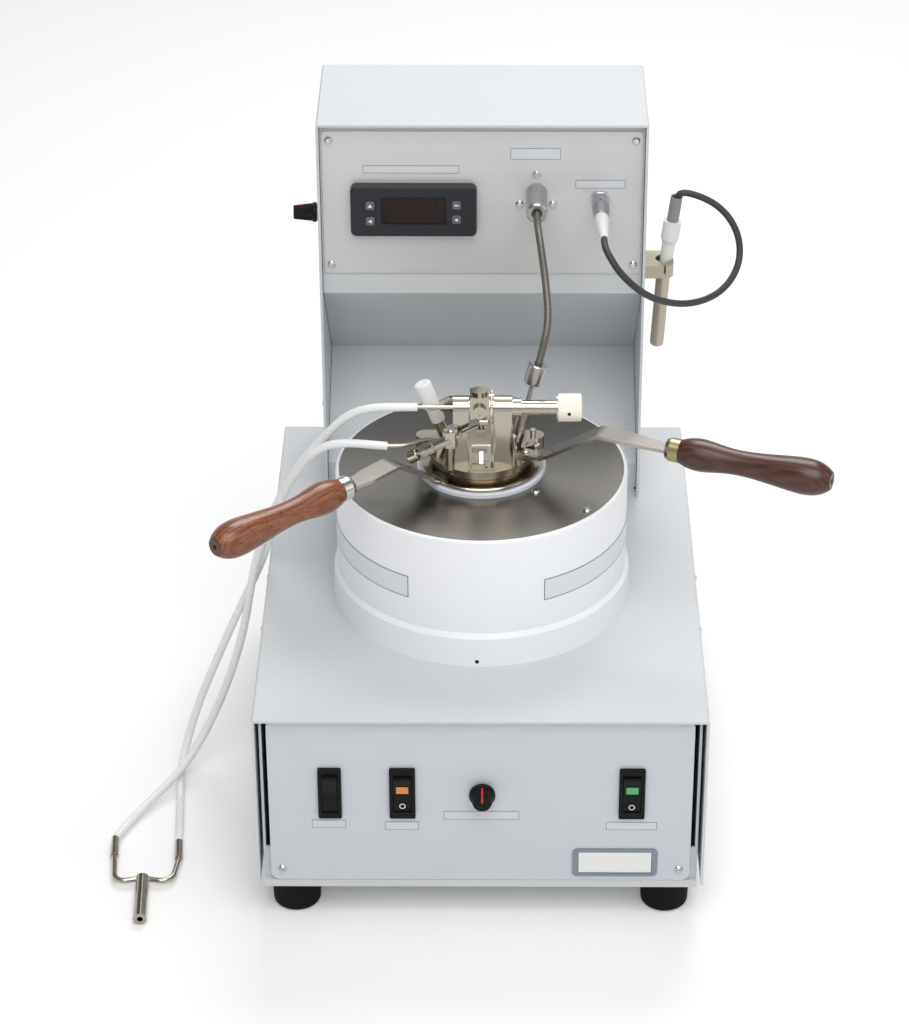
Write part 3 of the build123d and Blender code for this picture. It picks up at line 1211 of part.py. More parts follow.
# Carrier on the shaft, with the disc, the forked lever that drives the shutter, and the test jet.
with BuildPart() as jet_carrier:
    with BuildSketch(Plane.YZ.offset(CARRIER_X[0])):
        with Locations((TRUNNION_Y + (CARRIER_REAR - CARRIER_FRONT) / 2,
                        TRUNNION_Z + (CARRIER_UP - CARRIER_DOWN) / 2)):
            Rectangle(CARRIER_FRONT + CARRIER_REAR, CARRIER_UP + CARRIER_DOWN)
    extrude(amount=CARRIER_X[1] - CARRIER_X[0])
    carrier_middle = sum(CARRIER_X) / 2
    with BuildSketch(Plane.XY.offset(TRUNNION_Z + CARRIER_UP)):
        with Locations((carrier_middle, TRUNNION_Y)):
            Circle(CARRIER_CAP_R)
    extrude(amount=CARRIER_CAP_H)
    with BuildSketch(front_plane(carrier_middle, TRUNNION_Y - CARRIER_FRONT, TRUNNION_Z + BOSS_SLOT)):
        Circle(BOSS_R)
    extrude(amount=BOSS_PROUD)
    with BuildSketch(front_plane(carrier_middle, TRUNNION_Y - CARRIER_FRONT - BOSS_PROUD,
                                 TRUNNION_Z + BOSS_SLOT)):
        Rectangle(BOSS_SLOT, BOSS_R)
    extrude(amount=-BOSS_PROUD / 2, mode=Mode.SUBTRACT)
    with BuildSketch(Plane.YZ.offset(DISC_X[0])):
        with Locations((TRUNNION_Y, TRUNNION_Z)):
            Circle(DISC_R)
    extrude(amount=DISC_X[1] - DISC_X[0])
    with BuildSketch(Plane.YZ.offset(CARRIER_X[1])):
        with Locations((TRUNNION_Y, TRUNNION_Z)):
            Circle(CARRIER_HUB_R)
    extrude(amount=DISC_X[0] - CARRIER_X[1])
    lever_bottom = PIN_DROP + FORK_BELOW
    with BuildSketch(Plane.YZ.offset(DISC_X[1])):
        with Locations((TRUNNION_Y, TRUNNION_Z - lever_bottom / 2)):
            Rectangle(LEVER_W, lever_bottom)
        with Locations((TRUNNION_Y, PIN_Z + (FORK_ABOVE - FORK_BELOW) / 2)):
            Rectangle(FORK_W, FORK_ABOVE + FORK_BELOW, mode=Mode.SUBTRACT)
    extrude(amount=-LEVER_T)
    jet_z = TRUNNION_Z - JET_TIP_DROP
    jet_y = TRUNNION_Y - CARRIER_FRONT - JET_TIP_R
    with BuildSketch(Plane.YZ.offset(carrier_middle)):
        with Locations((jet_y, jet_z)):
            Circle(JET_TIP_R)
        with Locations((jet_y + JET_TIP_R / 2, jet_z + JET_TIP_R / 2)):
            Rectangle(JET_HEEL_L, JET_TIP_R)
    extrude(amount=JET_TIP_L)
    with BuildSketch(Plane.XY.offset(TRUNNION_Z - CARRIER_DOWN)):
        with Locations((carrier_middle + SHUTTER_T, TRUNNION_Y)):
            Circle(JET_STEM_R)
    extrude(amount=-(JET_BLOCK_TOP - CARRIER_DOWN))
    with BuildSketch(Plane.XY.offset(TRUNNION_Z - JET_BLOCK_TOP)):
        with Locations((carrier_middle + SHUTTER_T, TRUNNION_Y)):
            Rectangle(JET_BLOCK[0], JET_BLOCK[1])
    extrude(amount=-JET_BLOCK[2])
    with BuildSketch(Plane.YZ.offset(CARRIER_X[0])):
        with Locations((TRUNNION_Y, TRUNNION_Z)):
            Circle(SHAFT_R + PLAY)
    extrude(amount=DISC_X[1] - CARRIER_X[0], mode=Mode.SUBTRACT)
keep(jet_carrier, "jet_carrier")

# Shutter: a windowed plate on the lid, a rail and stem at its front, and the pin that the fork moves.
SHUTTER_Z = LID_TOP + SEAT
with BuildPart() as shutter:
    shutter_x = (LEFT_POST_X[1] + RIGHT_POST_X[0]) / 2
    with BuildSketch(Plane.XY.offset(SHUTTER_Z)):
        with Locations((shutter_x, (SHUTTER_FRONT + SHUTTER_REAR) / 2)):
            Rectangle(SHUTTER_W, SHUTTER_REAR - SHUTTER_FRONT)
        with Locations((0, WINDOW_Y)):
            Rectangle(PORT_W, PORT_D, mode=Mode.SUBTRACT)
    extrude(amount=SHUTTER_T)
    rail_y = SHUTTER_FRONT + SHUTTER_RAIL[1]
    with BuildSketch(Plane.XY.offset(SHUTTER_Z + SHUTTER_T)):
        with Locations((-SHUTTER_RAIL[2], rail_y)):
            Rectangle(SHUTTER_RAIL[0], SHUTTER_RAIL[1])
    extrude(amount=SHUTTER_RAIL[2])
    with BuildSketch(Plane.YZ.offset(-SHUTTER_STEM_W / 2)):
        with BuildLine():
            Polyline((rail_y - SHUTTER_STEM_W / 2, SHUTTER_Z + SHUTTER_T),
                     (rail_y + SHUTTER_STEM_W / 2, SHUTTER_Z + SHUTTER_T),
                     (TRUNNION_Y, PIN_Z - 2 * PIN_R),
                     (TRUNNION_Y, PIN_Z - PIN_R),
                     (TRUNNION_Y - 2 * PIN_R, PIN_Z - PIN_R),
                     close=True)
        make_face()
    extrude(amount=SHUTTER_STEM_W)
    block_left = carrier_middle - PIN_BLOCK[0] / 2
    with BuildSketch(Plane.YZ.offset(block_left)):
        with Locations((TRUNNION_Y - PIN_R, PIN_Z - PIN_BLOCK[2] / 2)):
            Rectangle(PIN_BLOCK[1], PIN_BLOCK[2])
    extrude(amount=PIN_BLOCK[0])
    with BuildSketch(Plane.YZ.offset(block_left)):
        with Locations((TRUNNION_Y, PIN_Z)):
            Circle(PIN_R)
    extrude(amount=RIGHT_POST_X[0] - SLIP - block_left)
keep(shutter, "shutter")

# Pilot burner: pillar and block, and on one rising axis the valve body, the nut and the nozzle.
PILOT_MIDDLE_X = sum(PILOT_BLOCK_X) / 2
PILOT_AXIS_Z = sum(PILOT_BLOCK_Z) / 2
PILOT = leaning(PILOT_MIDDLE_X, PILOT_Y, PILOT_AXIS_Z, 90 - PILOT_RISE)
BLOCK_REACH = (PILOT_BLOCK_X[1] - PILOT_BLOCK_X[0]) / 2 / math.cos(math.radians(PILOT_RISE))
VALVE_TAIL = BLOCK_REACH + VALVE_BODY_L + VALVE_HEX_L + VALVE_NUT_L
with BuildPart() as pilot_burner:
    with BuildSketch(Plane.XY.offset(LID_TOP)):
        with Locations((PILOT_MIDDLE_X, PILOT_Y + PILOT_BLOCK_D / 2 - PILLAR_R)):
            RegularPolygon(PILLAR_R, 6, major_radius=False)
    extrude(amount=PILOT_BLOCK_Z[0] - LID_TOP)
    with BuildSketch(front_plane(PILOT_MIDDLE_X, PILOT_Y - PILOT_BLOCK_D / 2, PILOT_AXIS_Z)):
        Rectangle(PILOT_BLOCK_X[1] - PILOT_BLOCK_X[0], PILOT_BLOCK_Z[1] - PILOT_BLOCK_Z[0])
    extrude(amount=-PILOT_BLOCK_D)
    chamfer(pilot_burner.edges().filter_by(Axis.Z).group_by(Axis.Y)[0], PILOT_BEVEL)
    with BuildSketch(PILOT):
        Circle(VALVE_BODY_R)
    extrude(amount=-(BLOCK_REACH + VALVE_BODY_L))
    with BuildSketch(PILOT.offset(-(BLOCK_REACH + VALVE_BODY_L))):
        Circle(VALVE_HEX_R)
    extrude(amount=-VALVE_HEX_L)
    with BuildSketch(PILOT.offset(-(BLOCK_REACH + VALVE_BODY_L + VALVE_HEX_L))):
        RegularPolygon(VALVE_NUT_R, 6)
    extrude(amount=-VALVE_NUT_L)
    with BuildSketch(PILOT.offset(-VALVE_TAIL)):
        Circle(VALVE_STEM_R + PLAY)
    extrude(amount=VALVE_NUT_L + VALVE_HEX_L, mode=Mode.SUBTRACT)
    with BuildSketch(PILOT):
        Circle(NOZZLE_BASE_R)
    extrude(amount=BLOCK_REACH + NOZZLE_BASE_R)
    with BuildSketch(PILOT):
        Circle(NOZZLE_R)
    extrude(amount=BLOCK_REACH + NOZZLE_L)
    with Locations(PILOT_SEAT):
        Hole(LID_SCREW_R + HOLE_PLAY, depth=LID_SCREW_L + HOLE_PLAY)
keep(pilot_burner, "pilot_burner")

with BuildPart() as valve_knob:
    with BuildSketch(PILOT.offset(-VALVE_TAIL - VALVE_KNOB_GAP)):
        Circle(VALVE_KNOB_R)
    extrude(amount=-VALVE_KNOB_L)
    fillet(valve_knob.edges().filter_by(GeomType.CIRCLE), VALVE_KNOB_R / 4)
    with BuildSketch(PILOT.offset(-VALVE_TAIL - VALVE_KNOB_GAP)):
        Circle(VALVE_STEM_R)
    extrude(amount=VALVE_KNOB_GAP + VALVE_NUT_L + VALVE_HEX_L / 2)
keep(valve_knob, "valve_knob")


# ================================================================== gas lines
def tube_along(points, radius):
    """Adds a tube along a route of straight runs joined by tangent arcs. Returns its route."""
    with BuildLine() as route:
        FilletPolyline(*points, radius=corner_radii(points))
    path = route.wire()
    with BuildSketch(Plane(origin=path @ 0, z_dir=path % 0)) as section:
        Circle(radius)
    sweep(section.sketch, path=path)
    return path


FRONT_TUBE_ROUTE = [(-66.5, -46.0, 247.5), (-52.0, -46.0, 246.1), (-43.5, -46.0, 246.6),
                    (-36.0, -45.8, 249.3), (-29.5, -46.4, 251.2), (-25.6, -48.6, 251.4)]
with BuildPart() as gas_tubes:
    with BuildSketch(Plane.YZ.offset(LEFT_POST_X[0])):
        with Locations((TRUNNION_Y, TRUNNION_Z)):
            Circle(GAS_TUBE_R)
    extrude(amount=REAR_TUBE_END - LEFT_POST_X[0])
    tube_along(FRONT_TUBE_ROUTE, GAS_TUBE_R)
keep(gas_tubes, "gas_tubes")

# Hoses: each is a sleeve over its gas tube and then one route down to a ferrule of the tee.
REAR_HOSE_ROUTE = [
    (-51.6, -40.0, 268.1), (-63.0, -40.0, 268.1), (-75.8, -36.2, 261.0), (-86.5, -31.0, 247.8),
    (-96.5, -24.5, 233.0), (-105.8, -17.8, 217.3), (-113.5, -12.0, 201.0), (-121.0, -6.5, 183.0),
    (-128.5, -3.0, 163.0), (-134.6, -2.0, 142.0), (-139.0, -0.5, 119.0), (-142.6, 1.5, 97.0),
    (-148.2, -1.0, 75.0), (-155.8, -2.5, 52.0), (-165.0, -7.0, 31.0), (-175.0, -19.0, 16.0),
    (-185.0, -36.0, 9.4), (-199.0, -56.0, 5.4), (-210.6, -76.0, 3.9), (-217.0, -92.9, 3.9),
]
FRONT_HOSE_ROUTE = [
    (-66.6, -46.0, 247.51), (-78.0, -46.0, 248.61), (-90.0, -42.0, 243.6), (-100.0, -34.5, 231.5),
    (-107.8, -26.0, 216.0), (-114.5, -17.8, 200.0), (-120.0, -10.0, 183.0), (-124.5, -3.0, 163.0),
    (-129.5, 4.0, 143.0), (-138.0, 9.5, 120.0), (-149.5, 7.5, 95.0), (-161.5, 4.5, 67.0),
    (-172.0, 0.5, 42.0), (-179.5, -6.0, 20.5), (-183.6, -22.0, 6.6), (-182.8, -44.0, 2.8),
    (-180.6, -70.0, 3.2), (-179.0, -96.1, 3.9),
]
with BuildPart() as gas_hoses:
    rear_route = tube_along(REAR_HOSE_ROUTE, HOSE_R)
    with BuildSketch(Plane.YZ.offset(REAR_HOSE_ROUTE[0][0])):
        with Locations((TRUNNION_Y, TRUNNION_Z)):
            Circle(HOSE_R)
            Circle(HOSE_BORE_R, mode=Mode.SUBTRACT)
    extrude(amount=REAR_SLEEVE_L)
    front_route = tube_along(FRONT_HOSE_ROUTE, HOSE_R)
    front_axis = Vector(*FRONT_TUBE_ROUTE[1]) - Vector(*FRONT_TUBE_ROUTE[0])
    with BuildSketch(Plane(origin=FRONT_HOSE_ROUTE[0], z_dir=front_axis)):
        Circle(HOSE_R)
        Circle(HOSE_BORE_R, mode=Mode.SUBTRACT)
    extrude(amount=FRONT_SLEEVE_L)
keep(gas_hoses, "gas_hoses")
report_cord("rear hose", gas_hoses.part, rear_route, REAR_HOSE_ROUTE, HOSE_R)
report_cord("front hose", gas_hoses.part, front_route, FRONT_HOSE_ROUTE, HOSE_R)

# Tee: two ferrules, a forked tube and the body with the gas inlet bore.
LEFT_LEG = (Vector(*TEE_LEFT, TEE_Z) - Vector(REAR_HOSE_ROUTE[-1])).normalized()
RIGHT_LEG = (Vector(*TEE_RIGHT, TEE_Z) - Vector(FRONT_HOSE_ROUTE[-1])).normalized()
LEFT_TURN = (TEE_LEFT[0] + TEE_TURN[0], TEE_FORK[1] - TEE_TURN[1], TEE_Z)
RIGHT_TURN = (TEE_RIGHT[0] - TEE_TURN[0], TEE_FORK[1] - TEE_TURN[1], TEE_Z)
TEE_AXIS = Plane(origin=(*TEE_FORK, TEE_Z),
                 z_dir=Vector(TEE_END[0] - TEE_FORK[0], TEE_END[1] - TEE_FORK[1], 0))
TEE_BODY_L = math.dist(TEE_FORK, TEE_END)
with BuildPart() as hose_tee:
    tube_along([(*TEE_LEFT, TEE_Z), LEFT_TURN, (*TEE_FORK, TEE_Z)], TEE_R)
    tube_along([(*TEE_RIGHT, TEE_Z), RIGHT_TURN, (*TEE_FORK, TEE_Z)], TEE_R)
    with BuildSketch(Plane(origin=REAR_HOSE_ROUTE[-1], z_dir=LEFT_LEG)):
        Circle(TEE_FERRULE_R)
    extrude(amount=TEE_FERRULE_L)
    with BuildSketch(Plane(origin=FRONT_HOSE_ROUTE[-1], z_dir=RIGHT_LEG)):
        Circle(TEE_FERRULE_R)
    extrude(amount=TEE_FERRULE_L)
    with BuildSketch(TEE_AXIS):
        Circle(TEE_BODY_R)
    extrude(amount=TEE_BODY_L)
    with BuildSketch(TEE_AXIS.offset(TEE_BODY_L)):
        Circle(TEE_BORE_R)
    extrude(amount=-TEE_BORE, mode=Mode.SUBTRACT)
keep(hose_tee, "hose_tee")

# ================================================================== column
# Cover: top, both sides and rear, open at the front and below.
with BuildPart() as column_cover:
    with BuildSketch(Plane.XY.offset(COVER_TOP)):
        with Locations((0, (COLUMN_FRONT + COVER_REAR) / 2)):
            Rectangle(COLUMN_W, COVER_REAR - COLUMN_FRONT)
    extrude(amount=COLUMN_TOP - COVER_TOP)
    fillet(column_cover.edges().filter_by(Axis.Y).group_by(Axis.Z)[-1], SHEET)
    with BuildSketch(Plane.XY.offset(COVER_TOP)):
        with Locations((0, (COLUMN_FRONT + COVER_REAR - SHEET) / 2 - SHEET)):
            Rectangle(COLUMN_W - 2 * SHEET, COVER_REAR - COLUMN_FRONT + SHEET)
    extrude(amount=COLUMN_TOP - COVER_TOP - SHEET, mode=Mode.SUBTRACT)
    with BuildSketch(SPEED_FACE):
        Circle(BUSH_R + HOLE_PLAY)
    extrude(amount=-SHEET, mode=Mode.SUBTRACT)
    with BuildSketch(left_plane(WALL_X, SIDE_SWITCH_Y, SIDE_SWITCH_Z)):
        switch_cutout(SIDE_FRAME_W, SIDE_FRAME_H)
    extrude(amount=-SHEET, mode=Mode.SUBTRACT)
keep(column_cover, "column_cover")


def panel_holes(face, depth):
    """Cuts the openings that the instrument panel and the folded front share."""
    with BuildSketch(face) as openings:
        with Locations((CASE_X, CASE_Z)):
            Rectangle(CASE_W + 2 * HOLE_PLAY, CASE_H + 2 * HOLE_PLAY)
        with Locations((SENSOR_X, SENSOR_Z)):
            Circle(SOCKET_BODY_R + HOLE_PLAY)
        with Locations((MOTOR_X, MOTOR_Z)):
            Circle(DRIVE_SPINDLE_R + DRIVE_GAP)
            for turn in MOTOR_SCREW_ANGLES:
                with PolarLocations(MOTOR_SCREW_R, 1, start_angle=turn):
                    Circle(SCREW_R + HOLE_PLAY)
        for x in (-PANEL_SCREW_X, PANEL_SCREW_X):
            for z in PANEL_SCREW_Z:
                with Locations((x, z)):
                    Circle(SCREW_R + HOLE_PLAY)
    extrude(openings.sketch, amount=-depth, mode=Mode.SUBTRACT)


# Folded front: upright, back to the notch, forward again, down, and a foot on the cabinet.
FRONT_TOP = COLUMN_TOP - SHEET - PANEL_GAP
FRONT_W = COLUMN_W - 2 * SHEET - 2 * SLIP
with BuildPart() as column_front:
    with BuildSketch(Plane.YZ.offset(-FRONT_W / 2)):
        with BuildLine():
            Polyline(
                (FACE_Y + SHEET / 2, FRONT_TOP),
                (FACE_Y + SHEET / 2, NOTCH_TOP),
                (NOTCH_BACK_Y + SHEET / 2, NOTCH_BACK_Z),
                (FACE_Y + SHEET / 2, NOTCH_BOTTOM),
                (FACE_Y + SHEET / 2, COVER_TOP + SHEET / 2),
                (FACE_Y + COLUMN_FOOT, COVER_TOP + SHEET / 2),
            )
        trace(line_width=SHEET)
    extrude(amount=FRONT_W)
    split(bisect_by=Plane.XY.offset(COVER_TOP), keep=Keep.TOP)
    panel_holes(front_plane(0, FACE_Y, 0), 2 * SHEET)
keep(column_front, "column_front")

with BuildPart() as instrument_panel:
    with BuildSketch(front_plane(0, PANEL_Y, (PANEL_BOTTOM + PANEL_TOP) / 2)):
        RectangleRounded(PANEL_W, PANEL_TOP - PANEL_BOTTOM, PANEL_CORNER_R)
    extrude(amount=-PANEL_T)
    panel_holes(front_plane(0, PANEL_Y, 0), PANEL_T)
keep(instrument_panel, "instrument_panel")

# Controller: bezel with a display recess and four key wells, and its body behind the panel.
with BuildPart() as controller_case:
    with BuildSketch(front_plane(CASE_X, PANEL_Y, CASE_Z)):
        RectangleRounded(BEZEL_W, BEZEL_H, BEZEL_R)
    extrude(amount=BEZEL_T)
    chamfer(controller_case.edges().group_by(Axis.Y)[0], DISPLAY_DEPTH)
    with BuildSketch(front_plane(CASE_X, PANEL_Y, CASE_Z)):
        Rectangle(CASE_W, CASE_H)
    extrude(amount=-CASE_DEPTH)
    with BuildSketch(front_plane(CASE_X, CASE_Y, DISPLAY_Z)):
        Rectangle(DISPLAY_W, DISPLAY_H)
    extrude(amount=-DISPLAY_DEPTH, mode=Mode.SUBTRACT)
    with BuildSketch(front_plane(0, CASE_Y, 0)):
        with Locations(*KEYS.values()):
            RectangleRounded(KEY + 2 * KEY_GAP, KEY + 2 * KEY_GAP, KEY_R + KEY_GAP)
    extrude(amount=-KEY_WELL, mode=Mode.SUBTRACT)
keep(controller_case, "controller_case")

for name, (x, z) in KEYS.items():
    with BuildPart() as key:
        with BuildSketch(front_plane(x, CASE_Y - KEY_PROUD, z)):
            RectangleRounded(KEY, KEY, KEY_R)
        extrude(amount=-(KEY_PROUD + KEY_DEPTH))
        fillet(key.faces().sort_by(Axis.Y)[0].edges(), KEY_PROUD / 2)
    keep(key, name)

# Stirrer motor with its gearbox behind the folded front, bored for the drive spindle.
MOTOR_FACE = front_plane(MOTOR_X, FACE_Y + SHEET, MOTOR_Z)
with BuildPart() as stirrer_motor:
    with BuildSketch(MOTOR_FACE):
        Circle(GEARBOX_R)
    extrude(amount=-GEARBOX_L)
    with BuildSketch(MOTOR_FACE.offset(-GEARBOX_L)):
        Circle(MOTOR_R)
    extrude(amount=-MOTOR_L)
    with BuildSketch(MOTOR_FACE):
        Circle(DRIVE_SPINDLE_R + PLAY)
        for turn in MOTOR_SCREW_ANGLES:
            with PolarLocations(MOTOR_SCREW_R, 1, start_angle=turn):
                Circle(SCREW_R + HOLE_PLAY)
    extrude(amount=-(DRIVE_SPINDLE_L - SHEET - PANEL_T), mode=Mode.SUBTRACT)
keep(stirrer_motor, "stirrer_motor")

DRIVE_FACE = front_plane(MOTOR_X, PANEL_Y - DRIVE_L, MOTOR_Z)
with BuildPart() as drive_coupling:
    with BuildSketch(DRIVE_FACE):
        Circle(DRIVE_R)
    extrude(amount=-(DRIVE_L - DRIVE_GAP))
    chamfer(drive_coupling.edges().group_by(Axis.Y)[0], DRIVE_EDGE)
    with BuildSketch(DRIVE_FACE):
        Circle(DRIVE_WELL_R)
    extrude(amount=-DRIVE_WELL, mode=Mode.SUBTRACT)
    with BuildSketch(DRIVE_FACE.offset(-(DRIVE_L - DRIVE_GAP))):
        Circle(DRIVE_SPINDLE_R)
    extrude(amount=-(DRIVE_GAP + DRIVE_SPINDLE_L - SLIP))
keep(drive_coupling, "drive_coupling")

# Flexible shaft from the bottom of the drive coupling's well to that of the stirrer's coupling.
FLEX_START = (MOTOR_X, PANEL_Y - DRIVE_L + DRIVE_WELL - SEAT, MOTOR_Z)
FLEX_END = STIRRER.from_local_coords((0, 0, COUPLING_START + COUPLING_L - COUPLING_WELL + SEAT))
FLEX_ROUTE = [FLEX_START, (MOTOR_X, FLEX_START[1] - FLEX_LEAD_IN, MOTOR_Z), (32.8, 30.0, 341.0),
              (34.8, 13.0, 334.2),
              (36.8, -2.0, 323.0), (38.0, -14.0, 309.6),
              tuple(STIRRER.from_local_coords((0, 0, COUPLING_START + COUPLING_L + FLEX_LEAD_OUT))),
              tuple(FLEX_END)]
with BuildPart() as flexible_shaft:
    flex_route = tube_along(FLEX_ROUTE, FLEX_R)
keep(flexible_shaft, "flexible_shaft")
report_cord("flexible shaft", flexible_shaft.part, flex_route, FLEX_ROUTE, FLEX_R)

# Sensor socket on the panel, and the plug with its ribs and boot.
SENSOR_FACE = front_plane(SENSOR_X, PANEL_Y, SENSOR_Z)
with BuildPart() as sensor_socket:
    with BuildSketch(SENSOR_FACE):
        Circle(SOCKET_RING_R)
    extrude(amount=SOCKET_RING_L)
    fillet(sensor_socket.edges().group_by(Axis.Y)[0], SOCKET_RING_L / 4)
    with BuildSketch(SENSOR_FACE):
        Circle(SOCKET_BODY_R)
    extrude(amount=-SOCKET_BODY_L)
keep(sensor_socket, "sensor_socket")

PLUG_FACE = SENSOR_FACE.offset(SOCKET_RING_L)
with BuildPart() as sensor_plug:
    with BuildSketch(PLUG_FACE):
        Circle(PLUG_R)
    extrude(amount=PLUG_L)
    for rib in range(PLUG_RIBS):
        with BuildSketch(PLUG_FACE.offset(PLUG_L / 2 + rib * PLUG_L / 2 / PLUG_RIBS)):
            Circle(PLUG_R)
            Circle(PLUG_R - PLUG_RIB_DEPTH, mode=Mode.SUBTRACT)
        extrude(amount=PLUG_L / 6 / PLUG_RIBS, mode=Mode.SUBTRACT)
    with BuildSketch(PLUG_FACE.offset(PLUG_L)):
        Circle(BOOT_R)
    with BuildSketch(PLUG_FACE.offset(PLUG_L + BOOT_L)):
        with Locations((BOOT_DROOP, -BOOT_DROOP)):
            Circle(BOOT_TIP_R)
    loft()
keep(sensor_plug, "sensor_plug")

# ================================================================== sensor probe and its holder
TUBE = leaning(HOLDER_X, HOLDER_Y, HOLDER_Z - HOLDER_WELL, TUBE_LEAN)
with BuildPart() as probe_holder:
    with BuildSketch(Plane.XY.offset(HOLDER_Z)):
        with Locations(((HOLDER_X + HOLDER_END - WALL_X) / 2, HOLDER_Y)):
            Rectangle(HOLDER_X + HOLDER_END + WALL_X, HOLDER_D)
    extrude(amount=-HOLDER_T)
    fillet(probe_holder.edges().filter_by(Axis.Z).group_by(Axis.X)[-1], HOLDER_END)
    with BuildSketch(TUBE):
        Circle(TUBE_R)
    extrude(amount=-TUBE_L)
    fillet(probe_holder.edges().group_by(Axis.Z)[0], TUBE_R / 3)
    with BuildSketch(TUBE):
        Circle(TUBE_BORE_R)
    extrude(amount=-(TUBE_L - TUBE_R / 2), mode=Mode.SUBTRACT)
    with BuildSketch(TUBE):
        Circle(TUBE_BORE_R)
    extrude(amount=HOLDER_WELL / 2, mode=Mode.SUBTRACT)
    with BuildSketch(Plane.XY.offset(HOLDER_Z)):
        with Locations((HOLDER_X, HOLDER_Y)):
            Circle(HOLDER_WELL_R)
    extrude(amount=-HOLDER_WELL, mode=Mode.SUBTRACT)
    with BuildSketch(Plane.XY.offset(HOLDER_Z)):
        with Locations((HOLDER_X, HOLDER_Y - HOLDER_D / 4)):
            Rectangle(HOLDER_SLIT, HOLDER_D / 2)
    extrude(amount=-HOLDER_T, mode=Mode.SUBTRACT)
keep(probe_holder, "probe_holder")

PROBE = leaning(HOLDER_X + PROBE_SHIFT, HOLDER_Y, HOLDER_Z - HOLDER_WELL + PROBE_LIFT, PROBE_LEAN)
with BuildPart() as sensor_probe:
    with BuildSketch(PROBE):
        Circle(PROBE_R)
    extrude(amount=-PROBE_L)
    with BuildSketch(PROBE):
        Circle(GRIP_TIP_R)
    with BuildSketch(PROBE.offset(GRIP_CONE)):
        Circle(GRIP_MID_R)
    loft()
    with BuildSketch(PROBE.offset(GRIP_CONE)):
        Circle(GRIP_MID_R)
    with BuildSketch(PROBE.offset(GRIP_STEP)):
        Circle(GRIP_TOP_R)
    loft()
    with BuildSketch(PROBE.offset(GRIP_STEP)):
        Circle(GRIP_TOP_R)
    extrude(amount=PROBE_GRIP_L - GRIP_STEP)
    with BuildSketch(PROBE.offset(PROBE_GRIP_L)):
        Circle(SLEEVE_R)
    extrude(amount=SLEEVE_L)
    with BuildSketch(PROBE.offset(PROBE_GRIP_L + SLEEVE_L)):
        Circle(CABLE_R + SLEEVE_GAP)
    extrude(amount=-SLEEVE_WELL, mode=Mode.SUBTRACT)
keep(sensor_probe, "sensor_probe")

# Sensor cable from the boot's tip, in one loop, to the probe's sleeve.
CABLE_START = (SENSOR_X + BOOT_DROOP, PANEL_Y - SOCKET_RING_L - PLUG_L - BOOT_L, SENSOR_Z - BOOT_DROOP)
CABLE_ROUTE = [
    CABLE_START, (CABLE_START[0], CABLE_START[1] - CABLE_LEAD_IN, CABLE_START[2]),
    (72.8, 12.8, 336.5), (77.6, 9.3, 329.6),
    (85.7, 10.0, 320.2), (95.6, 16.5, 309.5), (106.4, 27.0, 300.4), (117.9, 38.5, 293.2),
    (129.4, 50.0, 289.4), (139.8, 61.0, 289.3), (147.9, 71.0, 293.5), (152.6, 80.0, 301.5),
    (152.2, 86.5, 312.1), (147.4, 91.0, 322.0), (139.6, 94.0, 329.7), (130.3, 95.3, 334.8),
    (118.7, 95.5, 338.4),
    tuple(PROBE.from_local_coords((0, 0, PROBE_GRIP_L + SLEEVE_L))),
    tuple(PROBE.from_local_coords((0, 0, PROBE_GRIP_L + SLEEVE_L - SLEEVE_WELL + SEAT))),
]
with BuildPart() as sensor_cable:
    cable_route = tube_along(CABLE_ROUTE, CABLE_R)
keep(sensor_cable, "sensor_cable")
report_cord("sensor cable", sensor_cable.part, cable_route, CABLE_ROUTE, CABLE_R)
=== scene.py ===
"""The looks of a closed-cup flash point tester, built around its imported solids."""

import math

import bmesh
import bpy
import numpy as np
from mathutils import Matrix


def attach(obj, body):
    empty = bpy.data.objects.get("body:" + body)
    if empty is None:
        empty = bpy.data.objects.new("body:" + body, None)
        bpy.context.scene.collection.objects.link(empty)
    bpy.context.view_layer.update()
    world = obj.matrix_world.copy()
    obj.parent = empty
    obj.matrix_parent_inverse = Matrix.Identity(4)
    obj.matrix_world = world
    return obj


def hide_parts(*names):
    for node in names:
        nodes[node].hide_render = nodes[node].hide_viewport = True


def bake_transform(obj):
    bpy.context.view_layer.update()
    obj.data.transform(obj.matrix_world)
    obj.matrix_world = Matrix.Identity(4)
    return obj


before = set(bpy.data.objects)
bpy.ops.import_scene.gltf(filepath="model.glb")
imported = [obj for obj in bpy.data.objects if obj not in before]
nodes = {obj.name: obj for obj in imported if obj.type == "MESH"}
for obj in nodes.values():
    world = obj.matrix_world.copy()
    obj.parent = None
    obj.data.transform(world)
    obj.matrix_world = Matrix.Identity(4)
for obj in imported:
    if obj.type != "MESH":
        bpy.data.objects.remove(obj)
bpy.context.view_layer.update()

MM = 0.001
TURN = 2 * math.pi

# Places and sizes of the instrument, in millimetres.
PANEL_FACE_Y = -161.0
INSTRUMENT_FACE_Y = 82.5
BATH_CENTRE = (0.0, -23.0)
JACKET_R = 84.4
CUP_ARM_ANGLE = 223.0
LID_ARM_ANGLE = -22.0
PROBE_FOOT = (109.4, 95.5, 291.1)
PROBE_LEAN = math.radians(7.0)
PROBE_AXIS = (math.sin(PROBE_LEAN), 0.0, math.cos(PROBE_LEAN))
SOCKET_FOOT = (-18.1, -23.0, 233.2)
SOCKET_LEAN = math.radians(-21.0)
SOCKET_AXIS = (math.sin(SOCKET_LEAN), 0.0, math.cos(SOCKET_LEAN))
HOSE_R = 2.4
HOSE_BORE_R = 1.35
SHAFT_R = 2.15
CABLE_R = 2.0
GRIP_Z = 250.0
TRUNNION_Y = -40.0
TRUNNION_Z = 268.1
COLD_SWITCH_X = -43.9
MAIN_SWITCH_X = 85.2
ROCKER_MIDDLE_Y = -162.416
ROCKER_MIDDLE_Z = 87.47
LENS_REACH = 4.3
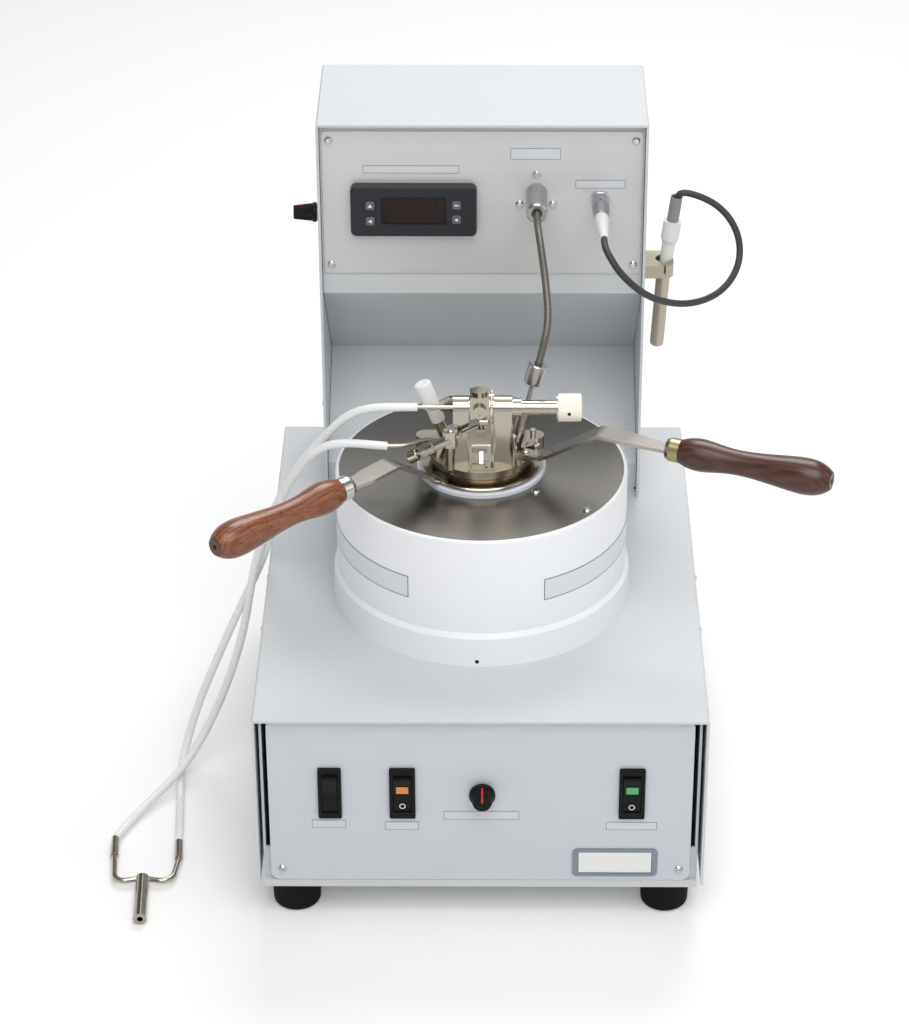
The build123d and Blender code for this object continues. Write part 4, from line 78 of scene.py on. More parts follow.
HEATING_KNOB_FOOT = (1.0, -162.4, 87.9)
HEATING_KNOB_FACE = (1.0, -172.0, 87.9)
SPEED_KNOB_FOOT = (-97.9, 92.0, 326.3)
SPEED_KNOB_FACE = (-111.5, 92.0, 326.3)
CONTROLLER_X = -40.4
CONTROLLER_Z = 334.4

CABLE_ROUTE = [
    (70.0, 30.3, 339.2), (70.0, 21.0, 339.2), (72.8, 12.8, 336.5), (77.6, 9.3, 329.6),
    (85.7, 10.0, 320.2), (95.6, 16.5, 309.5), (106.4, 27.0, 300.4), (117.9, 38.5, 293.2),
    (129.4, 50.0, 289.4), (139.8, 61.0, 289.3), (147.9, 71.0, 293.5), (152.6, 80.0, 301.5),
    (152.2, 86.5, 312.1), (147.4, 91.0, 322.0), (139.6, 94.0, 329.7), (130.3, 95.3, 334.8),
    (118.7, 95.5, 338.4), (114.81, 95.5, 335.17), (114.34, 95.5, 331.30),
]
SHAFT_ROUTE = [
    (31.75, 59.4, 343.4), (31.75, 46.0, 343.4), (32.8, 30.0, 341.0), (34.8, 13.0, 334.2),
    (36.8, -2.0, 323.0), (38.0, -14.0, 309.6), (34.89, -23.0, 296.95), (31.53, -23.0, 283.46),
]
REAR_HOSE_ROUTE = [
    (-51.6, -40.0, 268.1), (-63.0, -40.0, 268.1), (-75.8, -36.2, 261.0), (-86.5, -31.0, 247.8),
    (-96.5, -24.5, 233.0), (-105.8, -17.8, 217.3), (-113.5, -12.0, 201.0), (-121.0, -6.5, 183.0),
    (-128.5, -3.0, 163.0), (-134.6, -2.0, 142.0), (-139.0, -0.5, 119.0), (-142.6, 1.5, 97.0),
    (-148.2, -1.0, 75.0), (-155.8, -2.5, 52.0), (-165.0, -7.0, 31.0), (-175.0, -19.0, 16.0),
    (-185.0, -36.0, 9.4), (-199.0, -56.0, 5.4), (-210.6, -76.0, 3.9), (-217.0, -92.9, 3.9),
]
FRONT_HOSE_ROUTE = [
    (-66.6, -46.0, 247.51), (-78.0, -46.0, 248.61), (-90.0, -42.0, 243.6), (-100.0, -34.5, 231.5),
    (-107.8, -26.0, 216.0), (-114.5, -17.8, 200.0), (-120.0, -10.0, 183.0), (-124.5, -3.0, 163.0),
    (-129.5, 4.0, 143.0), (-138.0, 9.5, 120.0), (-149.5, 7.5, 95.0), (-161.5, 4.5, 67.0),
    (-172.0, 0.5, 42.0), (-179.5, -6.0, 20.5), (-183.6, -22.0, 6.6), (-182.8, -44.0, 2.8),
    (-180.6, -70.0, 3.2), (-179.0, -96.1, 3.9),
]
# The height at which a cord is split in two, and the millimetres at the shaft's two couplings that were to
# stay straight, which the cords do not use.
HOSE_SPLIT_Z = 150.0
SHAFT_SPLIT_Z = 330.0
SHAFT_HELD = (9.0, 16.0)


def paint(red, green, blue):
    """A colour as the eye reads it, 0 to 255, turned to the linear values that a shader wants."""
    eye = np.array([red, green, blue]) / 255
    linear = np.where(eye <= 0.04045, eye / 12.92, ((eye + 0.055) / 1.055) ** 2.4)
    return (*map(float, linear), 1.0)


# ---------------------------------------------------------------- shader pieces


def add_node(tree, kind, values=None, **settings):
    """A shader node: a socket given as a value is linked to it, and anything else is set on it."""
    made = tree.nodes.new(kind)
    for key, value in settings.items():
        setattr(made, key, value)
    for key, value in (values or {}).items():
        if isinstance(value, bpy.types.NodeSocket):
            tree.links.new(value, made.inputs[key])
        else:
            made.inputs[key].default_value = value
    return made


def new_group(name, inputs, outputs):
    """An empty shader group with named float or vector inputs and float outputs."""
    tree = bpy.data.node_groups.new(name, "ShaderNodeTree")
    for label, kind, value in inputs:
        socket = tree.interface.new_socket(label, in_out="INPUT", socket_type=kind)
        if value is not None:
            socket.default_value = value
    for label in outputs:
        tree.interface.new_socket(label, in_out="OUTPUT", socket_type="NodeSocketFloat")
    return tree, tree.nodes.new("NodeGroupInput"), tree.nodes.new("NodeGroupOutput")


def grain_group():
    """Grain of one size and soft patches forty times as broad, both as noise from 0 to 1."""
    tree, given, made = new_group(
        "coat_grain",
        [("Vector", "NodeSocketVector", None), ("Size", "NodeSocketFloat", 0.001)],
        ["Grain", "Patches"],
    )
    scale = add_node(tree, "ShaderNodeMath", {0: 1.0, 1: given.outputs["Size"]}, operation="DIVIDE")
    broad = add_node(tree, "ShaderNodeMath", {0: scale.outputs[0], 1: 0.025}, operation="MULTIPLY")
    for socket, wanted, detail in (("Grain", scale, 2.0), ("Patches", broad, 4.0)):
        noise = add_node(
            tree,
            "ShaderNodeTexNoise",
            {"Vector": given.outputs["Vector"], "Scale": wanted.outputs[0], "Detail": detail},
        )
        tree.links.new(noise.outputs["Fac"], made.inputs[socket])
    return tree


def streak_group():
    """Fine strokes and broad bands of noise on a vector that is already stretched along the strokes."""
    tree, given, made = new_group(
        "brush_streaks", [("Vector", "NodeSocketVector", None)], ["Strokes", "Bands"]
    )
    for socket, scale, detail in (("Strokes", 1.0, 5.0), ("Bands", 0.07, 3.0)):
        noise = add_node(
            tree,
            "ShaderNodeTexNoise",
            {"Vector": given.outputs["Vector"], "Scale": scale, "Detail": detail},
        )
        tree.links.new(noise.outputs["Fac"], made.inputs[socket])
    return tree


def timber_group():
    """Growth lines as a wave bent by noise, pores as narrow dark flecks and slow changes of tone."""
    tree, given, made = new_group(
        "timber_grain", [("Vector", "NodeSocketVector", None)], ["Lines", "Flecks", "Tone"]
    )
    wave = add_node(
        tree,
        "ShaderNodeTexWave",
        {"Vector": given.outputs["Vector"], "Scale": 0.5, "Distortion": 5.0, "Detail": 3.0,
         "Detail Scale": 1.5},
        wave_type="BANDS",
        bands_direction="Y",
    )
    tree.links.new(wave.outputs["Fac"], made.inputs["Lines"])
    pores = add_node(
        tree, "ShaderNodeTexNoise", {"Vector": given.outputs["Vector"], "Scale": 4.0, "Detail": 2.0}
    )
    narrow = add_node(
        tree,
        "ShaderNodeMapRange",
        {"Value": pores.outputs["Fac"], "From Min": 0.58, "From Max": 0.7},
    )
    tree.links.new(narrow.outputs["Result"], made.inputs["Flecks"])
    tone = add_node(
        tree, "ShaderNodeTexNoise", {"Vector": given.outputs["Vector"], "Scale": 0.35, "Detail": 2.0}
    )
    tree.links.new(tone.outputs["Fac"], made.inputs["Tone"])
    return tree


RING_WIDTH = 0.0034
GRAIN = grain_group()
STREAKS = streak_group()
TIMBER = timber_group()


def new_finish(name, color, roughness, metallic=0.0, **sockets):
    """A material with one shader, whose plain values are set on its own sockets."""
    finish = bpy.data.materials.new(name)
    finish.use_nodes = True
    tree = finish.node_tree
    shader = tree.nodes["Principled BSDF"]
    shader.inputs["Base Color"].default_value = color
    shader.inputs["Roughness"].default_value = roughness
    shader.inputs["Metallic"].default_value = metallic
    for key, value in sockets.items():
        shader.inputs[key.replace("_", " ")].default_value = value
    finish.diffuse_color = color
    return finish, tree, shader


def place(tree, centre=(0, 0, 0), turn=(0, 0, 0), size=(1, 1, 1)):
    """Object coordinates centred at a point, turned, and measured in units of size."""
    where = add_node(tree, "ShaderNodeTexCoord")
    return add_node(
        tree,
        "ShaderNodeMapping",
        {"Vector": where.outputs["Object"], "Location": centre, "Rotation": turn, "Scale": size},
        vector_type="TEXTURE",
    ).outputs["Vector"]


def shades(tree, mask, first, second):
    """A colour between two, by a mask."""
    mixed = add_node(tree, "ShaderNodeMix", {"Factor": mask}, data_type="RGBA")
    for label, value in (("A", first), ("B", second)):
        color_socket = [s for s in mixed.inputs if s.name == label and s.type == "RGBA"][0]
        if isinstance(value, bpy.types.NodeSocket):
            tree.links.new(value, color_socket)
        else:
            color_socket.default_value = value
    return [s for s in mixed.outputs if s.type == "RGBA"][0]


def set_stops(ramp, stops):
    """Puts (position, colour) stops into a ramp, whose own two ends take the first and the last."""
    elements = ramp.color_ramp.elements
    for element, (at, color) in zip((elements[0], elements[1]), (stops[0], stops[-1])):
        element.position = at
        element.color = color
    for at, color in stops[1:-1]:
        elements.new(at).color = color


def ranged(tree, mask, low, high):
    """A number that goes from low to high as the mask goes from 0.3 to 0.7."""
    return add_node(
        tree,
        "ShaderNodeMapRange",
        {"Value": mask, "From Min": 0.3, "From Max": 0.7, "To Min": low, "To Max": high},
    ).outputs["Result"]


def relief(tree, shader, height, distance, strength=0.5):
    """A bump whose height is a mask and whose depth is a distance in metres."""
    bump = add_node(
        tree, "ShaderNodeBump", {"Strength": strength, "Distance": distance, "Height": height}
    )
    tree.links.new(bump.outputs["Normal"], shader.inputs["Normal"])


def tinted(color, share):
    """The colour made lighter, or darker for a share under 1."""
    return (*(min(1.0, channel * share) for channel in color[:3]), 1.0)


def coated(name, color, roughness, grain=0.0008, depth=0.00003, mottling=0.04, **sockets):
    """Paint, plastic or rubber: a fine raised grain, with tone and gloss that drift in soft patches."""
    finish, tree, shader = new_finish(name, color, roughness, **sockets)
    pattern = add_node(tree, "ShaderNodeGroup", node_tree=GRAIN)
    pattern.inputs["Size"].default_value = grain
    tree.links.new(place(tree), pattern.inputs["Vector"])
    patches = pattern.outputs["Patches"]
    hue = shades(tree, patches, tinted(color, 1 - mottling), tinted(color, 1 + mottling))
    tree.links.new(hue, shader.inputs["Base Color"])
    gloss = ranged(tree, patches, roughness * 0.88, roughness * 1.12)
    tree.links.new(gloss, shader.inputs["Roughness"])
    relief(tree, shader, pattern.outputs["Grain"], depth)
    return finish


def brushed(name, color, roughness, size, turn=(0, 0, 0), depth=0.00001, metallic=1.0, bands=0.08):
    """Metal brushed along one direction: the strokes raise the surface and change its gloss and tone."""
    finish, tree, shader = new_finish(name, color, roughness, metallic)
    pattern = add_node(tree, "ShaderNodeGroup", node_tree=STREAKS)
    tree.links.new(place(tree, turn=turn, size=size), pattern.inputs["Vector"])
    hue = shades(
        tree, pattern.outputs["Bands"], tinted(color, 1 - 2 * bands), tinted(color, 1 + bands)
    )
    tree.links.new(hue, shader.inputs["Base Color"])
    gloss = ranged(tree, pattern.outputs["Strokes"], roughness * 0.8, roughness * 1.25)
    tree.links.new(gloss, shader.inputs["Roughness"])
    relief(tree, shader, pattern.outputs["Strokes"], depth)
    return finish


def spun(name, color, roughness, reflection_tones):
    """A plate turned on its face: fine strokes round the bath's axis, and painted reflection, a tone that
    changes with the angle round that axis.

    The painted reflection is a ramp of the angle round the axis, (share of a turn from the left, tone)."""
    finish, tree, shader = new_finish(name, color, roughness, 1.0)
    centred = place(tree, (BATH_CENTRE[0] * MM, BATH_CENTRE[1] * MM, 0.0))
    reflection_fan = add_node(tree, "ShaderNodeTexGradient", {"Vector": centred}, gradient_type="RADIAL")
    ramp = add_node(tree, "ShaderNodeValToRGB", {"Fac": reflection_fan.outputs["Fac"]})
    ramp.color_ramp.interpolation = "EASE"
    # Painted reflection: the plate's colour is made lighter or darker by its angle round the bath's axis.
    set_stops(ramp, [(at, tinted(color, tone)) for at, tone in reflection_tones])
    reach = add_node(tree, "ShaderNodeVectorMath", {0: centred}, operation="LENGTH")
    pattern = add_node(tree, "ShaderNodeGroup", node_tree=STREAKS)
    rings = add_node(
        tree, "ShaderNodeCombineXYZ", {"X": reach.outputs["Value"], "Y": reflection_fan.outputs["Fac"]}
    )
    fine = add_node(
        tree, "ShaderNodeVectorMath", {0: rings.outputs[0], 1: (3600.0, 26.0, 1.0)},
        operation="MULTIPLY",
    )
    tree.links.new(fine.outputs[0], pattern.inputs["Vector"])
    darker = add_node(
        tree, "ShaderNodeHueSaturation", {"Value": 0.975, "Color": ramp.outputs["Color"]}
    )
    hue = shades(tree, pattern.outputs["Strokes"], darker.outputs["Color"], ramp.outputs["Color"])
    tree.links.new(hue, shader.inputs["Base Color"])
    gloss = ranged(tree, pattern.outputs["Strokes"], roughness * 0.95, roughness * 1.05)
    tree.links.new(gloss, shader.inputs["Roughness"])
    return finish


def banded(name, origin, axis, length, bands, grain=0.0006, depth=0.000012):
    """Finishes that change along an axis: each band is (share of the length, colour, roughness, metallic).

    The mask is the distance along the axis over the length, (place - origin) . axis / length."""
    finish, tree, shader = new_finish(name, bands[0][1], bands[0][2], bands[0][3])
    axis = np.array(axis, float) / np.linalg.norm(axis)
    where = add_node(tree, "ShaderNodeTexCoord").outputs["Object"]
    dot = add_node(
        tree, "ShaderNodeVectorMath", {0: where, 1: tuple(map(float, axis))}, operation="DOT_PRODUCT"
    )
    foot = float(np.dot(np.array(origin) * MM, axis))
    share = add_node(
        tree,
        "ShaderNodeMapRange",
        {"Value": dot.outputs["Value"], "From Min": foot, "From Max": foot + length * MM},
    ).outputs["Result"]
    ramps = []
    for values in (
        [(at, color) for at, color, _, _ in bands],
        [(at, (rough, metal, 0.0, 1.0)) for at, _, rough, metal in bands],
    ):
        ramp = add_node(tree, "ShaderNodeValToRGB", {"Fac": share})
        ramp.color_ramp.interpolation = "CONSTANT"
        set_stops(ramp, values)
        ramps.append(ramp.outputs["Color"])
    pattern = add_node(tree, "ShaderNodeGroup", node_tree=GRAIN)
    pattern.inputs["Size"].default_value = grain
    tree.links.new(where, pattern.inputs["Vector"])
    darker = add_node(tree, "ShaderNodeHueSaturation", {"Value": 0.86, "Color": ramps[0]})
    hue = shades(tree, pattern.outputs["Patches"], darker.outputs["Color"], ramps[0])
    tree.links.new(hue, shader.inputs["Base Color"])
    parts = add_node(tree, "ShaderNodeSeparateColor", {"Color": ramps[1]})
    tree.links.new(parts.outputs["Red"], shader.inputs["Roughness"])
    tree.links.new(parts.outputs["Green"], shader.inputs["Metallic"])
    relief(tree, shader, pattern.outputs["Grain"], depth)
    return finish


def timber(name, dark, light, fleck, angle, roughness, end_from, flecks, stretch):
    """Varnished timber with its grain along a handle, and a darker sawn end.

    The grain runs along x after the place is turned by the handle's angle."""
    finish, tree, shader = new_finish(name, light, roughness, Coat_Weight=0.2, Coat_Roughness=0.25)
    turn = (0, 0, math.radians(angle))
    centre = (BATH_CENTRE[0] * MM, BATH_CENTRE[1] * MM)
    along = place(tree, (*centre, GRIP_Z * MM), turn, (stretch, RING_WIDTH, RING_WIDTH))
    pattern = add_node(tree, "ShaderNodeGroup", node_tree=TIMBER)
    tree.links.new(along, pattern.inputs["Vector"])
    hue = shades(tree, pattern.outputs["Lines"], dark, light)
    toned = shades(tree, pattern.outputs["Tone"], hue, dark)
    pores = add_node(
        tree, "ShaderNodeMath", {0: pattern.outputs["Flecks"], 1: flecks}, operation="MULTIPLY"
    )
    flecked = shades(tree, pores.outputs[0], toned, fleck)
    plain = place(tree, (*centre, 0), turn)
    distance = add_node(tree, "ShaderNodeSeparateXYZ", {"Vector": plain}).outputs["X"]
    sawn = add_node(
        tree, "ShaderNodeMath", {0: distance, 1: end_from * MM}, operation="GREATER_THAN"
    )
    ended = shades(tree, sawn.outputs[0], flecked, tinted(dark, 0.35))
    tree.links.new(ended, shader.inputs["Base Color"])
    gloss = ranged(tree, pattern.outputs["Tone"], roughness * 0.8, roughness * 1.3)
    tree.links.new(gloss, shader.inputs["Roughness"])
    relief(tree, shader, pattern.outputs["Lines"], 0.00004, 0.35)
    return finish


def wound(name, color, groove_shade, roughness, metallic, pitch):
    """A wound sheath: ridges along the piece's own UV, where V is the distance along it in millimetres
    and U goes once round, so V / pitch + U gives one ridge a turn."""
    finish, tree, shader = new_finish(name, color, roughness, metallic)
    where = add_node(tree, "ShaderNodeTexCoord").outputs["UV"]
    parts = add_node(tree, "ShaderNodeSeparateXYZ", {"Vector": where})
    turns = add_node(
        tree, "ShaderNodeMath", {0: parts.outputs["Y"], 1: 1 / pitch, 2: parts.outputs["X"]},
        operation="MULTIPLY_ADD",
    )
    angle = add_node(tree, "ShaderNodeMath", {0: turns.outputs[0], 1: TURN}, operation="MULTIPLY")
    wave = add_node(tree, "ShaderNodeMath", {0: angle.outputs[0]}, operation="SINE")
    ridge = add_node(
        tree, "ShaderNodeMapRange", {"Value": wave.outputs[0], "From Min": -1.0, "From Max": 0.4}
    ).outputs["Result"]
    # Painted shade: the grooves between the ridges are coloured darker than the ridges.
    tree.links.new(shades(tree, ridge, groove_shade, color), shader.inputs["Base Color"])
    relief(tree, shader, ridge, 0.0003, 0.8)
    return finish


# ---------------------------------------------------------------- mesh pieces


def grid_faces(rows, columns, wrap_rows=False, wrap_columns=False):
    """Quads of a rows by columns grid, and the row and column numbers of their corners before wrapping."""
    i, j = np.meshgrid(
        np.arange(rows if wrap_rows else rows - 1),
        np.arange(columns if wrap_columns else columns - 1),
        indexing="ij",
    )
    down = np.stack([i, i + 1, i + 1, i], -1).reshape(-1, 4)
    across = np.stack([j, j, j + 1, j + 1], -1).reshape(-1, 4)
    return (down % rows) * columns + across % columns, down, across


def make_mesh(name, points, faces, finishes, uv=None, which=None, crease=32.0):
    """A mesh object at the origin from arrays of points and quads, with poles welded and faces outwards.

    The signed volume, the sum of a . (b x c) / 6 over the triangles, tells whether the faces point in."""
    points = np.asarray(points, float).reshape(-1, 3)
    faces = np.asarray(faces)
    a, b, c, d = (points[faces[:, k]] for k in range(4))
    volume = np.einsum("ij,ij->i", a, np.cross(b, c)).sum()
    volume += np.einsum("ij,ij->i", a, np.cross(c, d)).sum()
    if volume < 0:
        faces = faces[:, ::-1]
        uv = None if uv is None else uv[:, ::-1]
    mesh = bpy.data.meshes.new(name)
    mesh.from_pydata(points.tolist(), [], faces.tolist())
    for finish in finishes:
        mesh.materials.append(finish)
    if which is not None:
        mesh.polygons.foreach_set("material_index", np.asarray(which, np.int32))
    if uv is not None:
        layer = mesh.uv_layers.new(name="UVMap")
        layer.data.foreach_set("uv", np.asarray(uv, np.float32).ravel())
    build = bmesh.new()
    build.from_mesh(mesh)
    bmesh.ops.remove_doubles(build, verts=build.verts, dist=1e-7)
    build.to_mesh(mesh)
    build.free()
    mesh.polygons.foreach_set("use_smooth", np.ones(len(mesh.polygons), bool))
    mesh.set_sharp_from_angle(angle=math.radians(crease))
    piece = bpy.data.objects.new(name, mesh)
    bpy.context.scene.collection.objects.link(piece)
    return piece


def settle(piece, body=None, replaces=()):
    """Makes a finished piece ride on a body and stand for the nodes it replaces."""
    if body:
        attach(piece, body)
    if replaces:
        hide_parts(*replaces)
    return piece


def across(axis):
    """The unit axis and two unit vectors across it."""
    axis = np.array(axis, float) / np.linalg.norm(axis)
    helper = (0.0, 0.0, 1.0) if abs(axis[2]) < 0.9 else (0.0, 1.0, 0.0)
    side = np.cross(axis, helper)
    side /= np.linalg.norm(side)
    return axis, side, np.cross(axis, side)


def turned(name, origin, axis, profile, finishes, sides=40, ring=False, ridges=None, crease=32.0):
    """A turned piece from a profile of (distance along the axis, radius), in millimetres.

    A point is origin + distance * axis + (radius - depth * ridge) * (cos t * side + sin t * up),
    where ridges = (count, depth, first row, last row) and ridge = (1 - cos(count * t)) / 2 on those rows."""
    axis, side, up = across(axis)
    distance, radius = np.array(profile, float).T
    angle = np.arange(sides) / sides * TURN
    reach = radius[:, None] * np.ones(sides)
    if ridges:
        count, depth, first, last = ridges
        reach[first : last + 1] -= depth * (1 - np.cos(count * angle)) / 2
    out = np.cos(angle)[:, None] * side + np.sin(angle)[:, None] * up
    points = np.array(origin) + distance[:, None, None] * axis + reach[..., None] * out[None]
    faces, _, _ = grid_faces(len(distance), sides, ring, True)
    return make_mesh(name, points * MM, faces, finishes, crease=crease)


def lay(origin, right, up, out):
    """A flat place: a function of (u, v, lift) that gives origin + u * right + v * up + lift * out."""
    origin, right, up, out = (np.array(v, float) for v in (origin, right, up, out))

    def surface(u, v, lift):
        return origin + u[..., None] * right + v[..., None] * up + lift * out

    return surface


def round_bath(middle, z):
    """A place on the jacket: u millimetres round from an angle off the front, v up from z.

    The angle is middle + u / R, and the point is the bath's centre + (R + lift) * (sin, -cos)."""

    def surface(u, v, lift):
        angle = math.radians(middle) + u / JACKET_R
        reach = JACKET_R + lift
        return np.stack(
            [
                BATH_CENTRE[0] + reach * np.sin(angle),
                BATH_CENTRE[1] - reach * np.cos(angle),
                z + v,
            ],
            -1,
        )

    return surface


def strip(name, surface, width, height, border, finishes, thickness=0.12, columns=1):
    """A thin bordered plate: a front and a back grid on a surface, joined by a rim.

    The first and last rows and columns of quads are the border, which takes the second finish."""
    u = np.linspace(border - width / 2, width / 2 - border, columns + 1)
    u = np.concatenate([[-width / 2], u, [width / 2]])
    v = np.array([-height / 2, border - height / 2, height / 2 - border, height / 2])
    v, u = np.meshgrid(v, u, indexing="ij")
    rows, count = u.shape
    faces, down, over = grid_faces(rows, count)
    edge = np.arange(rows * count).reshape(rows, count)
    loop = np.concatenate([edge[:, 0], edge[-1, 1:], edge[-2::-1, -1], edge[0, -2:0:-1]])
    after = np.roll(loop, -1)
    back = rows * count
    rim = np.stack([after, loop, loop + back, after + back], -1)
    points = np.concatenate([surface(u, v, lift).reshape(-1, 3) for lift in (thickness, 0.0)])
    bordered = (down[:, 0] == 0) | (down[:, 0] == rows - 2) | (over[:, 0] == 0)
    bordered |= over[:, 0] == count - 2
    which = np.concatenate([bordered, np.zeros(len(faces)), np.ones(len(rim))])
    everything = np.concatenate([faces, faces[:, ::-1] + back, rim])
    return make_mesh(name, points * MM, everything, finishes, which=which)


def marks(name, surface, outlines, finish, thickness=0.06):
    """Thin raised marks from convex outlines of (u, v) points, each a front, a back and a rim."""
    mesh = bpy.data.meshes.new(name)
    points, faces, start = [], [], 0
    for outline in outlines:
        u, v = np.array(outline, float).T
        count = len(u)
        points += [surface(u, v, thickness), surface(u, v, 0.0)]
        front = np.arange(start, start + count)
        after = np.roll(front, -1)
        rim = np.stack([front, front + count, after + count, after], -1)
        faces += [front.tolist(), (front[::-1] + count).tolist(), *rim.tolist()]
        start += 2 * count
    mesh.from_pydata((np.concatenate(points) * MM).tolist(), [], faces)
    mesh.materials.append(finish)
    build = bmesh.new()
    build.from_mesh(mesh)
    bmesh.ops.recalc_face_normals(build, faces=build.faces)
    build.to_mesh(mesh)
    build.free()
    piece = bpy.data.objects.new(name, mesh)
    bpy.context.scene.collection.objects.link(piece)
    return piece


def centreline(route):
    """Points in metres on the smooth spline whose control points are the route, given in millimetres."""
    curve = bpy.data.curves.new("route", "CURVE")
    curve.dimensions = "3D"
    curve.resolution_u = 10
    spline = curve.splines.new("NURBS")
    spline.points.add(len(route) - 1)
    weighted = np.c_[np.array(route) * MM, np.ones(len(route))]
    spline.points.foreach_set("co", weighted.ravel())
    spline.order_u = 3
    spline.use_endpoint_u = True
    carrier = bpy.data.objects.new("route", curve)
    bpy.context.scene.collection.objects.link(carrier)
    bpy.context.view_layer.update()
    mesh = bpy.data.meshes.new_from_object(carrier)
    points = np.zeros(len(mesh.vertices) * 3)
    mesh.vertices.foreach_get("co", points)
    bpy.data.objects.remove(carrier)
    bpy.data.meshes.remove(mesh)
    return points.reshape(-1, 3)


def tube(name, path, radius, finish, bore=None, sides=20):
    """A tube along a path: a ring of points round each path point, with the frame carried along unturned.

    A point is path + radius * (cos t * side + sin t * up). A bore adds the rings again, backwards and
    narrower. Without one the ends close at their middles."""
    tangent = np.gradient(path, axis=0)
    tangent /= np.linalg.norm(tangent, axis=1)[:, None]
    side = np.zeros_like(path)
    _, current, _ = across(tangent[0])
    for ring_number, direction in enumerate(tangent):
        current = current - direction * np.dot(current, direction)
        current /= np.linalg.norm(current)
        side[ring_number] = current
    up = np.cross(tangent, side)
    angle = np.arange(sides) / sides * TURN
    around = np.cos(angle)[None, :, None] * side[:, None] + np.sin(angle)[None, :, None] * up[:, None]
    step = np.concatenate([[0.0], np.linalg.norm(np.diff(path, axis=0), axis=1)]).cumsum() / MM
    outer = path[:, None] + radius * MM * around
    if bore:
        inner = (path[:, None] + bore * MM * around)[::-1]
        points = np.concatenate([outer, inner])
        at = np.concatenate([step, step[::-1], step[:1]])
    else:
        first, last = (np.repeat(path[k][None, None], sides, 1) for k in (0, -1))
        points = np.concatenate([first, outer, last])
        at = np.concatenate([step[:1], step, step[-1:]])
    faces, down, over = grid_faces(len(points), sides, bool(bore), True)
    uv = np.stack([over / sides, at[down]], -1)
    return make_mesh(name, points, faces, [finish], uv=uv, crease=60.0)


# ---------------------------------------------------------------- camera, lamps and floor

camera = bpy.data.objects.new("camera", bpy.data.cameras.new("camera"))
bpy.context.scene.collection.objects.link(camera)
camera.location = (0.007194, -1.618417, 1.151371)
camera.rotation_euler = (math.radians(58.8953), 0.0, math.radians(0.2372))
camera.data.sensor_width = 36.0
camera.data.lens = 112.44
camera.data.shift_x = -0.02734
camera.data.clip_end = 20.0
bpy.context.scene.camera = camera
bpy.context.scene.view_settings.view_transform = "Standard"


def lamp(name, spot, target, size, power):
    """A square soft box that looks at a point, its power in watts."""
    data = bpy.data.lights.new(name, "AREA")
    data.shape = "SQUARE"
    data.size = size
    data.energy = power
    made = bpy.data.objects.new(name, data)
    bpy.context.scene.collection.objects.link(made)
    made.location = spot
    direction = np.array(target) - np.array(spot)
    flat = math.hypot(direction[0], direction[1])
    made.rotation_euler = (
        math.atan2(flat, -direction[2]),
        0.0,
        math.atan2(direction[1], direction[0]) - math.pi / 2,
    )


lamp("key_lamp", (0.1, -1.2, 1.8), (0.0, 0.0, 0.15), 1.7, 26.5)
lamp("fill_lamp", (1.4, -0.4, 1.0), (0.0, 0.0, 0.15), 1.0, 3.0)
lamp("back_lamp", (0.2, 1.1, 1.7), (0.0, 0.0, 0.2), 1.0, 17.0)


def light_the_room():
    """A white room for the camera and through glass. Mirrors see it bright low down and overhead and dark
    in between, by levels of (upward part of the direction, brightness)."""
    world = bpy.data.worlds.new("room")
    bpy.context.scene.world = world
    world.use_nodes = True
    tree = world.node_tree
    tree.nodes.clear()
    rays = add_node(tree, "ShaderNodeLightPath").outputs
    seen = add_node(
        tree, "ShaderNodeMath", {0: rays["Is Camera Ray"], 1: rays["Is Transmission Ray"]},
        operation="MAXIMUM",
    )
    way = add_node(tree, "ShaderNodeTexCoord").outputs["Generated"]
    height = add_node(tree, "ShaderNodeSeparateXYZ", {"Vector": way})
    ramp = add_node(tree, "ShaderNodeValToRGB", {"Fac": height.outputs["Z"]})
    levels = ((0.0, 0.8), (0.2, 0.85), (0.4, 0.2), (0.6, 0.11), (0.8, 0.4), (1.0, 0.9))
    set_stops(ramp, [(rise, (level, level, level, 1.0)) for rise, level in levels])
    soft = add_node(tree, "ShaderNodeBackground", {"Color": (1.0, 1.0, 1.0, 1.0), "Strength": 0.37})
    mirror = add_node(
        tree, "ShaderNodeBackground", {"Color": ramp.outputs["Color"], "Strength": 0.9}
    )
    white = add_node(tree, "ShaderNodeBackground", {"Color": (1.0, 1.0, 1.0, 1.0), "Strength": 1.0})
    shiny = add_node(
        tree, "ShaderNodeMixShader", {0: rays["Is Glossy Ray"], 1: soft.outputs[0], 2: mirror.outputs[0]}
    )
    final = add_node(
        tree, "ShaderNodeMixShader", {0: seen.outputs[0], 1: shiny.outputs[0], 2: white.outputs[0]}
    )
    out = tree.nodes.new("ShaderNodeOutputWorld")
    tree.links.new(final.outputs[0], out.inputs["Surface"])


def lay_the_floor():
    """A pale bench top that the camera sees as white except where the instrument shades it."""
    reach = np.linspace(-3.0, 3.0, 5)
    x, y = np.meshgrid(reach, reach, indexing="ij")
    points = np.stack([x, y, np.zeros_like(x)], -1).reshape(-1, 3)
    faces, _, _ = grid_faces(5, 5)
    mesh = bpy.data.meshes.new("floor")
    mesh.from_pydata(points.tolist(), [], faces.tolist())
    finish, tree, shader = new_finish("floor_white", (0.86, 0.86, 0.86, 1.0), 0.8)
    rays = add_node(tree, "ShaderNodeLightPath").outputs
    glow = add_node(
        tree, "ShaderNodeMath", {0: rays["Is Camera Ray"], 1: 0.13}, operation="MULTIPLY"
    )
    emit = add_node(tree, "ShaderNodeEmission", {"Strength": glow.outputs[0]})
    both = add_node(tree, "ShaderNodeAddShader", {0: shader.outputs[0], 1: emit.outputs[0]})
    tree.links.new(both.outputs[0], tree.nodes["Material Output"].inputs["Surface"])
    mesh.materials.append(finish)
    floor = bpy.data.objects.new("floor", mesh)
    bpy.context.scene.collection.objects.link(floor)
    floor.location.z = -0.0003


light_the_room()
lay_the_floor()

# ---------------------------------------------------------------- finishes

